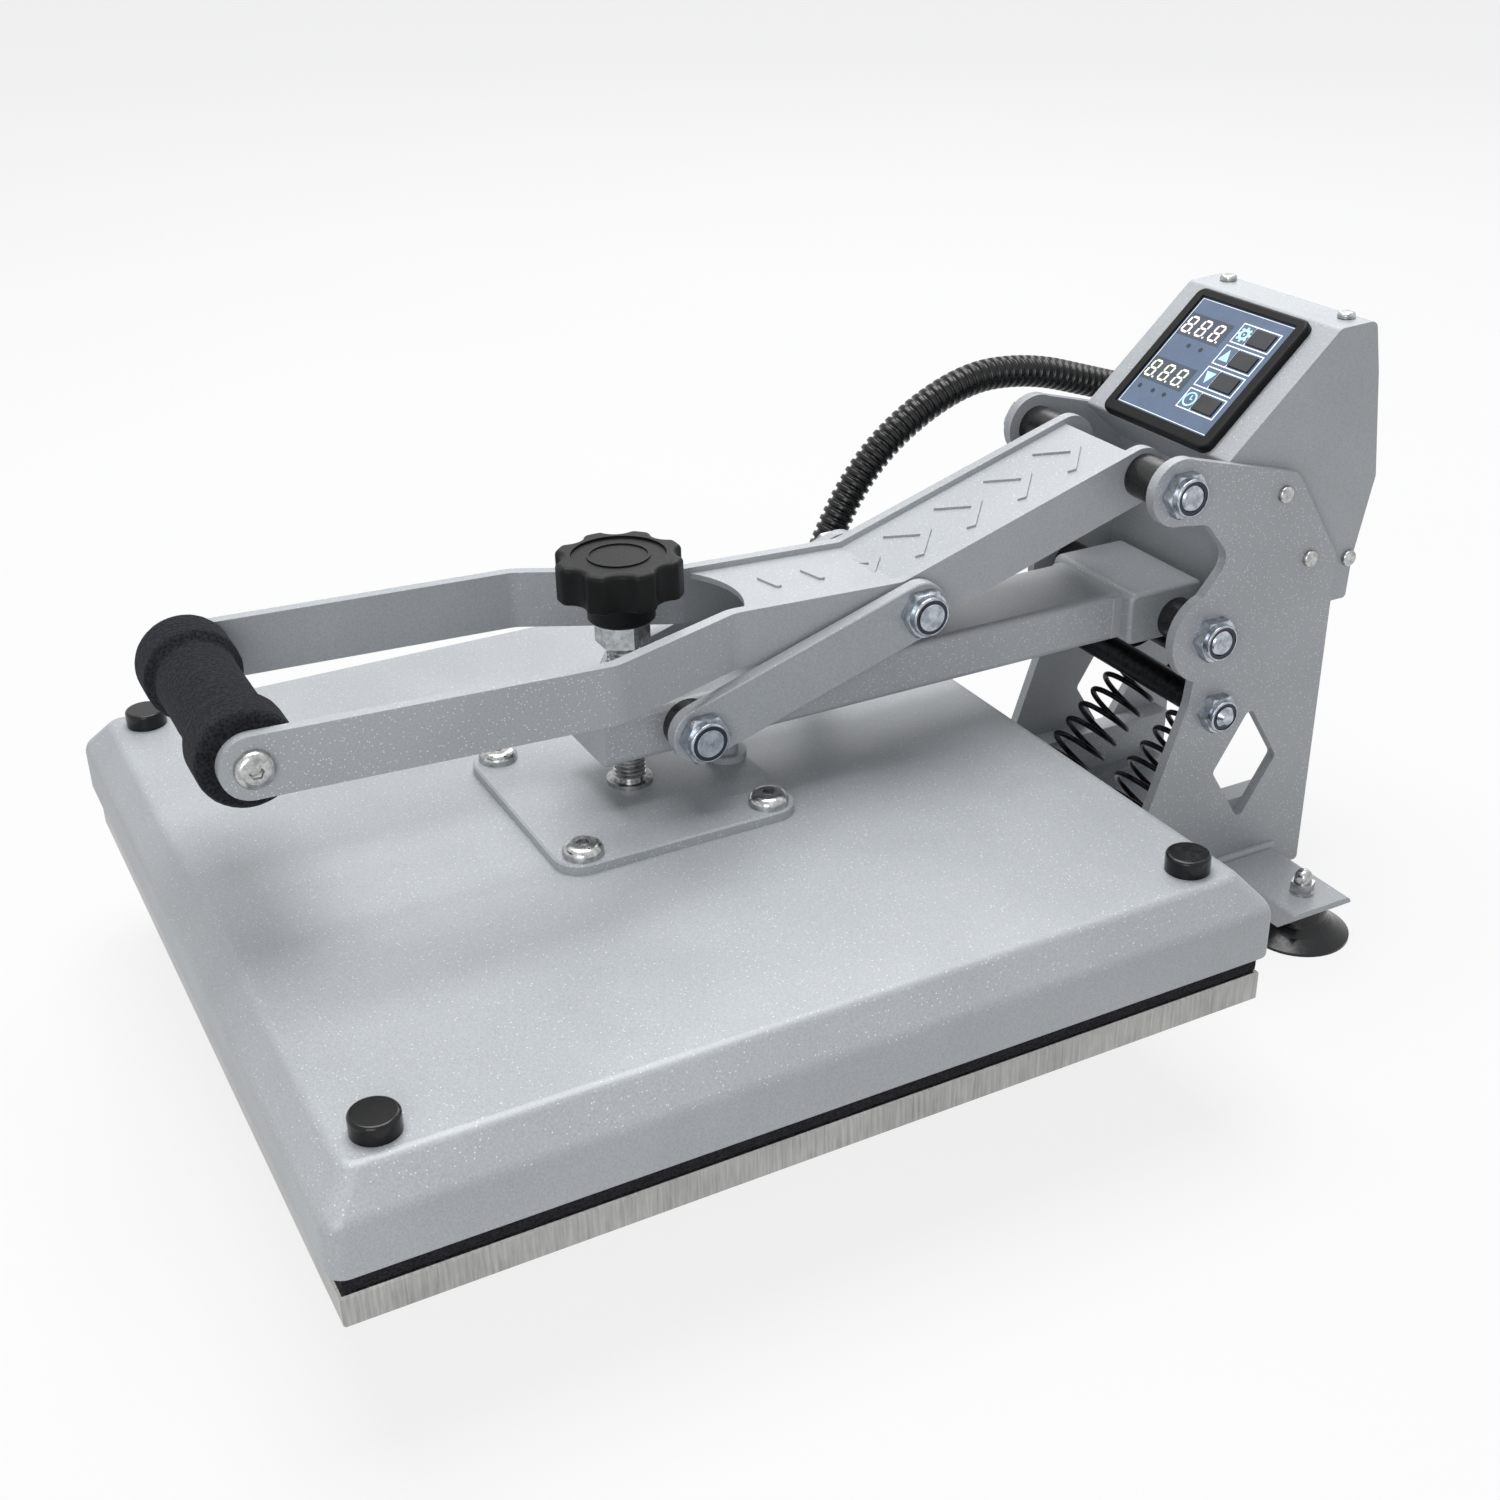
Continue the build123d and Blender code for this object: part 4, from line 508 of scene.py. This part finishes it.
def make_grip():
    """Rings from end to end, closer together where the ends round off."""
    points = []
    for i in range(GRIP_RINGS):
        sweep = 0.5 - 0.5 * math.cos(math.pi * i / (GRIP_RINGS - 1))
        x = -GRIP_HALF + 2 * GRIP_HALF * sweep
        for j in range(GRIP_AROUND):
            a = math.tau * j / GRIP_AROUND
            place = (x * SKIN_ALONG, math.cos(a) * SKIN_ROUND, math.sin(a) * SKIN_ROUND)
            rough = noise.noise(Vector(place)) * SKIN_MM
            r = grip_radius(x) - SKIN_MM + rough
            points.append(at(x, GRIP_Y + r * math.cos(a), GRIP_Z + r * math.sin(a)))
    return piece_from("foam_sleeve", points, rings_to_faces(GRIP_RINGS, GRIP_AROUND), FOAM)


grip = make_grip()
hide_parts("foam_grip")
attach(grip, "handle")

# %% [markdown]
# ## Sponge pad
# The pad is a sheet of silicone sponge nearly as wide as the bed. Its edge is cut with a knife,
# so the side is a little wavy, and its top corner is rounded where the hot platen has pressed
# it. A stack of square outlines, each set in by its own amount, gives both.

# %% Sponge pad
PAD_HALF = 189.0
PAD_LOW, PAD_HIGH = 68.0, 76.5
PAD_CUTS = 64
PAD_MARGIN = 0.4
KNIFE_WAVE = 0.35
WAVE_ROUND, WAVE_UP = 30, 0.2
# Share of the pad's height, and how far the edge stands in there.
PAD_LEVELS = [(0.0, 0.7), (0.12, 0.25), (0.3, 0.12), (0.5, 0.05), (0.7, 0.1), (0.88, 0.3),
              (1.0, 0.9)]


def square_outline(cuts):
    """Points round a square from -1 to 1, one side after the other."""
    steps = [-1 + 2 * i / cuts for i in range(cuts)]
    front, right = [(t, -1) for t in steps], [(1, t) for t in steps]
    back, left = [(-t, 1) for t in steps], [(-1, -t) for t in steps]
    return front + right + back + left


def make_pad():
    """The outline at each level, with the knife's wave."""
    outline = square_outline(PAD_CUTS)
    points = []
    for share, inset in PAD_LEVELS:
        z = PAD_LOW + (PAD_HIGH - PAD_LOW) * share
        for u, v in outline:
            place = (u * WAVE_ROUND, v * WAVE_ROUND, z * WAVE_UP)
            wave = noise.noise(Vector(place)) * KNIFE_WAVE
            half = PAD_HALF - PAD_MARGIN - inset + wave
            points.append(at(u * half, v * half, z))
    faces = rings_to_faces(len(PAD_LEVELS), len(outline))
    return piece_from("sponge_sheet", points, faces, SPONGE, smooth=False)


pad = make_pad()
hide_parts("silicone_pad")
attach(pad, "base")

# %% [markdown]
# ## Line of the hose
# The wires to the heater run in a corrugated nylon hose. It springs from the elbow on the box,
# goes over in one bow and drops straight into the gland. A smooth spline through a few control
# points gives the bow, and it is cut into even steps so that each rib gets the same number.

# %% Line of the hose
HOSE_X = -72.0
HOSE_START = (314.0, 219.6)
HOSE_END = (133.0, 124.83)
HOSE_CONTROLS = [HOSE_START, (306.9, 221.9), (292.0, 226.7), (251.0, 240.3), (210.5, 240.8),
                 (162.9, 213.5), (134.2, 165.5), (133.0, 140.0), (133.0, 131.0), HOSE_END]
RIB_PITCH = 4.05
RIB_STEPS = 12


def spline_points(name, controls):
    """Points of a smooth spline, read from Blender's own curve."""
    curve = bpy.data.curves.new(name, "CURVE")
    curve.dimensions = "3D"
    curve.resolution_u = 24
    spline = curve.splines.new("NURBS")
    spline.points.add(len(controls) - 1)
    for point, place in zip(spline.points, controls):
        point.co = (*place, 1.0)
    spline.order_u = 3
    spline.use_endpoint_u = True
    holder = bpy.data.objects.new(name, curve)
    bpy.context.scene.collection.objects.link(holder)
    bpy.context.view_layer.update()
    mesh = bpy.data.meshes.new_from_object(holder)
    line = [v.co.copy() for v in mesh.vertices]
    bpy.data.objects.remove(holder)
    bpy.data.meshes.remove(mesh)
    return line


def evenly(line, step):
    """The same line with points at even distances, and its length."""
    along = [0.0]
    for a, b in zip(line, line[1:]):
        along.append(along[-1] + (b - a).length)
    total = along[-1]
    count = max(2, round(total / step))
    out = []
    k = 0
    for i in range(count + 1):
        want = total * i / count
        while k < len(along) - 2 and along[k + 1] < want:
            k += 1
        share = (want - along[k]) / max(1e-9, along[k + 1] - along[k])
        out.append(line[k].lerp(line[k + 1], share))
    return out, total


hose_line = spline_points("hose_line", [at(HOSE_X, y, z) for y, z in HOSE_CONTROLS])
hose_path, hose_length = evenly(hose_line, RIB_PITCH * MM / RIB_STEPS)
print("hose length:", round(hose_length / MM, 1), "mm")

# %% [markdown]
# ## Ribs of the hose
# A corrugated hose is blown into a mould with round-shouldered ribs a little wider than the
# grooves between them. Rings along the line swell and shrink once for each rib, which keeps the
# ribs square to the line in every bend. The hose is fixed to the box at one end and at the other
# to the hot platen, which the arm carries.

# %% Ribs of the hose
HOSE_R, HOSE_ROOT = 7.5, 6.2
HOSE_AROUND = 40
RIB_STEEP, RIB_WIDE, RIB_LAG = 5, 1.2, 0.02


def rib_radius(i):
    """Root and crest of the ribs in turn, with soft shoulders."""
    phase = (i % RIB_STEPS) / RIB_STEPS
    wave = math.sin(math.tau * (phase - RIB_LAG))
    crest = 0.5 + 0.5 * math.tanh(RIB_STEEP * wave + RIB_WIDE)
    return (HOSE_ROOT + (HOSE_R - HOSE_ROOT) * crest) * MM


hose = tube("corrugated_hose", hose_path, rib_radius, HOSE_AROUND, HOSE_PLASTIC)
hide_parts("hose")
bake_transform(hose)

# %% [markdown]
# ## Return springs
# Two black extension springs lift the arm. Each is one wire: a hook over the crossbar behind the
# arm, a row of open coils, and a hook under the lower rod. The wire's middle line is worked out
# along the spring's own axis, and a thin tube follows it, because a coil modifier couldn't join
# the hooks to the coils in one wire.

# %% Wire of a spring
CROSSBAR = (313.0, 102.0)
ANCHOR = (232.0, 28.5)
ROD_R = 5.0
COIL_R, WIRE_R = 12.9, 1.4
COIL_PITCH, COIL_LEAD = 8.9, 8.0
LEAD_ANGLE = 0.45
TURN_STEPS = 36
HOOK_GAP, HOOK_TAIL, HOOK_LEAN = 0.3, 7.5, 0.6
HOOK_ANGLES = [math.pi + math.pi * i / 24 for i in range(25)]


def upper_hook(seat):
    """The free tail and the half turn round the crossbar: across, up and along the spring."""
    tail = [(0, -COIL_R + HOOK_LEAN * (1 - i / 5), seat + HOOK_TAIL * (1 - i / 5))
            for i in range(6)]
    bend = [(0, COIL_R * math.cos(a), seat + COIL_R * math.sin(a)) for a in HOOK_ANGLES[1:]]
    return tail + bend


def lower_hook(seat, length):
    """The half turn round the lower rod and its free tail."""
    far = length - seat
    bend = [(0, COIL_R * math.cos(a), far - COIL_R * math.sin(a)) for a in HOOK_ANGLES]
    tail = [(0, COIL_R - HOOK_LEAN * i / 5, far - HOOK_TAIL * i / 5) for i in range(1, 6)]
    return bend + tail


def coils(seat, length):
    """The open coils, with a short lead from and to the hooks."""
    body = length - 2 * seat - 2 * COIL_LEAD
    turns = int(body / COIL_PITCH - 0.5) + 0.5
    steps = int(turns * TURN_STEPS)
    first = math.pi / 2 + LEAD_ANGLE
    sweep = turns * math.tau - 2 * LEAD_ANGLE
    last = first + sweep
    wire = []
    for t in (i / 6 for i in range(1, 6)):
        wire.append((COIL_R * math.cos(first) * t * t,
                     COIL_R * (1 - t) + COIL_R * math.sin(first) * t, seat + COIL_LEAD * t))
    for i in range(steps + 1):
        a = first + sweep * i / steps
        wire.append((COIL_R * math.cos(a), COIL_R * math.sin(a),
                     seat + COIL_LEAD + body * i / steps))
    for t in (i / 6 for i in range(1, 6)):
        wire.append((COIL_R * math.cos(last) * (1 - t) ** 2,
                     COIL_R * math.sin(last) * (1 - t) - COIL_R * t,
                     length - seat - COIL_LEAD * (1 - t)))
    return wire


# %% [markdown]
# ## Return springs in place
# The crossbar sits on the arm's tail, behind the hinge, so it swings down and forward as the arm
# opens, while the lower rod stays with the base. One spring stands on each side of the middle.

# %% Return springs in place
SPRING_X = 25.0
WIRE_AROUND = 12


def spring_line(x):
    """The wire's middle line in the frame, from the upper hook to the lower one."""
    top, foot = Vector((x, *CROSSBAR)), Vector((x, *ANCHOR))
    axis = (foot - top).normalized()
    across = Vector((1, 0, 0))
    up = axis.cross(across)
    length = (foot - top).length
    seat = COIL_R - WIRE_R - ROD_R - HOOK_GAP
    wire = upper_hook(seat) + coils(seat, length) + lower_hook(seat, length)
    return [at(*(top + across * u + up * v + axis * z)) for u, v, z in wire]


for side, name in ((1, "right"), (-1, "left")):
    wire = tube("coil_spring_" + name, spring_line(SPRING_X * side), lambda i: WIRE_R * MM,
                WIRE_AROUND, BLACK_STEEL)
    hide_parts("spring_" + name)
    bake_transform(wire)

# %% [markdown]
# ## Face of the display
# The overlay is printed from behind: two rows of three seven-part figures, small lamps, and four
# framed cells, each with a sign beside its key. Everything lies flat on the tilted window, so it
# is drawn in the panel's own two axes, u across and s up, and lifted by a tenth of a millimetre.

# %% Panel axes
PANEL_FOOT = (271.0, 225.0)
PANEL_TILT = math.radians(42.1)
WINDOW_RISE = 2.8


def on_panel(u, s, out=0.0):
    """A point of the panel in the frame, from millimetres across, up and off the window."""
    rise = WINDOW_RISE + out
    return at(u, PANEL_FOOT[0] + s * math.cos(PANEL_TILT) - rise * math.sin(PANEL_TILT),
              PANEL_FOOT[1] + s * math.sin(PANEL_TILT) + rise * math.cos(PANEL_TILT))


print("foot of the panel in the frame:", [round(c, 4) for c in on_panel(0, 0)])

# %% [markdown]
# ## Inks with painted glow, and lit segments
# The figures are lit from behind and the signs are pale ink. A little light of their own lets
# both read against the tinted film, as they do on the real panel, and more would wash out the
# gaps between the seven parts. For the figures this light is their backlight; the ink signs
# give no light, so theirs is a painted glow.

# %% Inks and lit segments
INK_MM = 2.0


def backlit_or_painted_glow(name, dark, light, strength):
    """A backlit segment, or ink with a painted glow, that gives a little light of its own."""
    ink, tree, shader = finish_of(name, Roughness=0.4)
    cloud = add(tree, "TexNoise", {"Scale": 1 / INK_MM, **SPECKLE}, Vector=millimetres(tree))
    glow = two_swatches(tree, cloud, MIDDLE, dark, light, to=shader.inputs["Base Color"])
    tree.links.new(glow, shader.inputs["Emission Color"])
    shader.inputs["Emission Strength"].default_value = strength
    return ink


LIT_WARM = backlit_or_painted_glow("warm_white_segment", "#F3DEDA", "#FFF1EE", 0.75)
LIT_GREEN = backlit_or_painted_glow("green_white_segment", "#DDE6C4", "#F2F7DE", 0.7)
# The two prints are ink, which gives no light: their glow is painted.
GLOWING_PRINT_WHITE = backlit_or_painted_glow("white_screen_print_painted_glow", "#DCEAF2", "#F2F9FD", 0.35)
GLOWING_PRINT_CYAN = backlit_or_painted_glow("pale_blue_screen_print_painted_glow", "#A9DDEB", "#C2ECF6", 0.35)
# A dim window, so that the lit parts stand out.
SMOKED = moulded("smoked_figure_window", "#46505F", "#4F5A69", 0.25, 4.0, 0.005)
# A small lens with nothing lit behind it.
DARK_LAMP = moulded("unlit_indicator_lamp", "#232A38", "#2D3546", 0.3, 2.0, 0.005)
print("finishes in all:", len(bpy.data.materials))

# %% [markdown]
# ## Flat prints
# A print is a set of polygons with a skin of one tenth of a millimetre, so that it has an edge to
# catch the light. Strokes, discs and frames are all polygons, and one function makes a piece from
# any number of them.

# %% Flat prints
INK_LOW, INK_HIGH = 0.02, 0.12


def print_piece(name, polygons, ink, low=INK_LOW, high=INK_HIGH):
    """One piece made of flat polygons on the window, each as a thin prism."""
    points = []
    faces = []
    for polygon in polygons:
        base = len(points)
        count = len(polygon)
        points += [on_panel(u, s, low) for u, s in polygon]
        points += [on_panel(u, s, high) for u, s in polygon]
        faces.append(tuple(base + count + i for i in range(count)))
        faces.append(tuple(base + i for i in range(count))[::-1])
        for i in range(count):
            k = (i + 1) % count
            faces.append((base + i, base + k, base + count + k, base + count + i))
    made = piece_from(name, points, faces, ink, smooth=False)
    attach(made, "base")
    return made


# %% [markdown]
# ## Strokes, discs and frames
# These are the pen of the display. Each gives one or more polygons in the panel's two axes, so
# that a sign is only a list of them.

# %% Strokes, discs and frames


def stroke(a, b, width):
    """A straight stroke with square ends."""
    a, b = Vector(a), Vector(b)
    along = (b - a).normalized() * width / 2
    side = Vector((-along.y, along.x))
    return [tuple(a - side), tuple(b - side), tuple(b + side), tuple(a + side)]


def round_point(u, s, r, a):
    """A point on a circle."""
    return (u + r * math.cos(a), s + r * math.sin(a))


def disc(u, s, r, count=24):
    """A filled circle."""
    return [round_point(u, s, r, math.tau * i / count) for i in range(count)]


def circle_line(u, s, r, width, count=32):
    """A circle drawn as short quads."""
    inner, outer = r - width / 2, r + width / 2
    quads = []
    for i in range(count):
        a, b = math.tau * i / count, math.tau * (i + 1) / count
        quads.append([round_point(u, s, inner, a), round_point(u, s, outer, a),
                      round_point(u, s, outer, b), round_point(u, s, inner, b)])
    return quads


def loop(u0, u1, s0, s1, width):
    """A rectangular frame as four strokes."""
    h = width / 2
    return [stroke((u0 - h, s0), (u1 + h, s0), width), stroke((u0 - h, s1), (u1 + h, s1), width),
            stroke((u0, s0 + h), (u0, s1 - h), width), stroke((u1, s0 + h), (u1, s1 - h), width)]


# %% [markdown]
# ## Seven-part figures
# A figure 8 lights all seven parts. Each part is a long hexagon, so that neighbours meet in a
# thin dark gap, and the whole figure leans a few degrees, as on nearly every such display.

# %% Seven-part figures
FIGURE_W, FIGURE_H = 4.6, 8.6
FIGURE_PITCH = 9.4
BAR = 1.05
LEAN = 0.12
PART_GAP = 0.28
POINT_R, POINT_OUT = 0.55, 1.7


def figure(u, s):
    """The seven parts of one 8 about its middle, and its point."""
    w, h = FIGURE_W / 2, FIGURE_H / 2
    ends = [((-w, h), (w, h)), ((-w, 0), (w, 0)), ((-w, -h), (w, -h)),
            ((-w, 0), (-w, h)), ((w, 0), (w, h)), ((-w, -h), (-w, 0)), ((w, -h), (w, 0))]
    parts = []
    for a, b in ends:
        a, b = Vector(a), Vector(b)
        along = (b - a).normalized()
        side = Vector((-along.y, along.x)) * BAR / 2
        a, b = a + along * PART_GAP, b - along * PART_GAP
        cut = along * BAR / 2
        shape = [a, a + cut - side, b - cut - side, b, b - cut + side, a + cut + side]
        parts.append([(u + p.x + p.y * LEAN, s + p.y) for p in shape])
    parts.append(disc(u + w + POINT_OUT - h * LEAN, s - h, POINT_R, 12))
    return parts


# %% [markdown]
# ## Rows and lamps
# Each row of three figures stands on a smoked window of its own, warm white above and greenish
# below. Small round lamps under the rows tell the mode on the real panel, and they are dark here.

# %% Rows and lamps
ROWS = {"upper": (-16.3, 54.5, LIT_WARM), "lower": (-16.3, 28.0, LIT_GREEN)}
ROW_HALF_U, ROW_HALF_S = 15.0, 6.4
ROW_SHIFT = 0.8
LAMPS = [(-17.5, 44.2), (-9.0, 44.2), (-26.0, 17.6), (-16.5, 17.6), (-8.5, 17.6)]
LAMP_R = 1.15
WINDOW_SKIN, FIGURE_SKIN = (0.01, 0.05), (0.06, 0.16)

for row, (u, s, ink) in ROWS.items():
    left, right, low, high = u - ROW_HALF_U, u + ROW_HALF_U, s - ROW_HALF_S, s + ROW_HALF_S
    back = [[(left, low), (right, low), (right, high), (left, high)]]
    print_piece("figure_window_" + row, back, SMOKED, low=WINDOW_SKIN[0], high=WINDOW_SKIN[1])
    shapes = []
    for k in (-1, 0, 1):
        shapes += figure(u + k * FIGURE_PITCH - ROW_SHIFT, s)
    print_piece("figures_" + row, shapes, ink, low=FIGURE_SKIN[0], high=FIGURE_SKIN[1])
print_piece("indicator_lamps", [disc(u, s, LAMP_R) for u, s in LAMPS], DARK_LAMP)

# %% [markdown]
# ## Signs beside the keys
# The signs say what each key does without words: a toothed wheel to set, two triangles to raise
# and lower, and a clock face for the time. They are built from the strokes and discs above, in
# the order of the keys from the bottom up.

# %% Signs beside the keys
KEY_S0, KEY_PITCH = 20.3, 12.7
SIGN_U, SIGN_HALF = 7.3, 3.1
RING_R, RING_LINE = 2.35, 1.3
TEETH, TOOTH_FROM, TOOTH_TO, TOOTH_LINE = 8, 2.8, 4.0, 1.35
HUB_R = 0.55
CLOCK_R, CLOCK_LINE, HAND_LINE = 3.45, 0.9, 0.6


def gear(u, s):
    """A toothed wheel: eight teeth round a ring."""
    shapes = circle_line(u, s, RING_R, RING_LINE)
    for i in range(TEETH):
        a = math.tau * i / TEETH
        foot, tip = round_point(u, s, TOOTH_FROM, a), round_point(u, s, TOOTH_TO, a)
        shapes.append(stroke(foot, tip, TOOTH_LINE))
    shapes.append(disc(u, s, HUB_R, 12))
    return shapes


def clock(u, s):
    """A round clock face with two hands."""
    shapes = circle_line(u, s, CLOCK_R, CLOCK_LINE)
    shapes.append(stroke((u, s - 0.3), (u, s + 2.2), HAND_LINE))
    shapes.append(stroke((u - 0.3, s), (u + 1.6, s), HAND_LINE))
    return shapes


down_s, up_s = KEY_S0 + KEY_PITCH, KEY_S0 + 2 * KEY_PITCH
left, right = SIGN_U - SIGN_HALF, SIGN_U + SIGN_HALF
signs = clock(SIGN_U, KEY_S0)
signs.append([(left, down_s + 3.0), (SIGN_U, down_s - 3.3), (right, down_s + 3.0)])
signs.append([(left, up_s - 2.8), (right, up_s - 2.8), (SIGN_U, up_s + 3.5)])
signs += gear(SIGN_U, KEY_S0 + 3 * KEY_PITCH)
print_piece("key_signs", signs, GLOWING_PRINT_CYAN)

# %% [markdown]
# ## Frames round the keys
# Each key sits in a thin white frame with its sign, and a hairline parts the two. One larger
# hairline runs round the whole screen, just inside the bezel.

# %% Frames round the keys
CELL_U0, CELL_U1 = 2.9, 27.6
CELL_HALF_S = 5.3
RULE_U, RULE_HALF_S = 11.6, 5.0
FRAME_LINE, HAIRLINE = 0.6, 0.35
SCREEN = (-31.0, 31.0, 7.2, 69.0)

cells = []
for i in range(4):
    s = KEY_S0 + i * KEY_PITCH
    cells += loop(CELL_U0, CELL_U1, s - CELL_HALF_S, s + CELL_HALF_S, FRAME_LINE)
    cells.append(stroke((RULE_U, s - RULE_HALF_S), (RULE_U, s + RULE_HALF_S), HAIRLINE))
print_piece("cell_frames", cells, GLOWING_PRINT_WHITE)
print_piece("screen_border", loop(*SCREEN, HAIRLINE), GLOWING_PRINT_WHITE)

# %% [markdown]
# ## Floor and air
# The press stands on a pale paper sweep. To the eye and in reflections the sweep and the air are
# plain white, while the light they throw on the press stays weak, so the lamps shape it. A small
# share of the paper is left to take the shadow.

# %% Floor and air
FLOOR_HALF = 12.0
SHADOW_SHARE = 0.18
PAPER_MM = 400.0


def white_to_the_eye(tree):
    """1 for camera, mirror and glass rays, 0 for the rays that light the press."""
    ray = add(tree, "LightPath").node.outputs
    seen = add(tree, "Math", {"operation": "MAXIMUM"}, _0=ray["Is Camera Ray"],
               _1=ray["Is Glossy Ray"])
    return add(tree, "Math", {"operation": "MAXIMUM"}, _0=seen, _1=ray["Is Transmission Ray"])


def sweep_material():
    """Pale paper: to the eye mostly plain white, with a share left that takes the shadow."""
    paper, tree, shader = finish_of("pale_paper_sweep", Roughness=0.9)
    fibres = {"Scale": 1 / PAPER_MM, "Detail": 1.0, "Roughness": 0.6}
    cloud = add(tree, "TexNoise", fibres, Vector=millimetres(tree))
    two_swatches(tree, cloud, MIDDLE, "#DEDEDE", "#E2E2E2", to=shader.inputs["Base Color"])
    glow = add(tree, "Emission", {"Color": linear("#FFFFFF"), "Strength": 1.0})
    share = add(tree, "Math", {"operation": "MULTIPLY", 1: 1 - SHADOW_SHARE},
                _0=white_to_the_eye(tree))
    add(tree, "MixShader", to=tree.nodes["Material Output"].inputs["Surface"],
        _0=share, _1=shader.outputs[0], _2=glow)
    return paper


corners = [(-FLOOR_HALF, -FLOOR_HALF, 0), (FLOOR_HALF, -FLOOR_HALF, 0),
           (FLOOR_HALF, FLOOR_HALF, 0), (-FLOOR_HALF, FLOOR_HALF, 0)]
floor = piece_from("floor", corners, [(0, 1, 2, 3)], sweep_material(), smooth=False)

world = bpy.data.worlds.new("studio_air")
world.use_nodes = True
bpy.context.scene.world = world
air = world.node_tree
air.nodes.clear()
white = add(air, "Background", {"Color": linear("#FFFFFF"), "Strength": 1.0})
soft = add(air, "Background", {"Color": linear("#F2F6FC"), "Strength": 0.24})
mixed = add(air, "MixShader", _0=white_to_the_eye(air), _1=soft, _2=white)
add(air, "OutputWorld", Surface=mixed)

# %% [markdown]
# ## Lamps
# Three soft boxes light the press. The large one overhead gives the paint its long soft
# highlights, a small one beside the camera lifts the sides that face it, and a weak one behind
# parts the dark pieces from the ground. Places and sizes are in metres, as lamps stand far off.

# %% Lamps


def softbox(name, place, target, size, power):
    """A square lamp that looks at a point of the press."""
    data = bpy.data.lights.new(name, "AREA")
    data.shape = "SQUARE"
    data.size = size
    data.energy = power
    box = bpy.data.objects.new(name, data)
    box.location = place
    box.rotation_euler = (Vector(target) - Vector(place)).to_track_quat("-Z", "Y").to_euler()
    bpy.context.scene.collection.objects.link(box)
    print(name, "gives", power, "watts")


softbox("top_lamp", (-0.4, 0.0, 2.3), (0, 0, 0.1), 1.6, 50)
softbox("front_lamp", (0.85, -0.7, 0.5), (0.05, -0.05, 0.15), 0.5, 3.1)
softbox("rear_lamp", (-1.4, 1.2, 1.5), (0, 0, 0.15), 1.2, 10)

# %% [markdown]
# ## Colour on the screen
# The plain view transform shows each colour about as it is written, so the finishes can be
# judged against the real press.

# %% View
bpy.context.scene.view_settings.view_transform = "Standard"
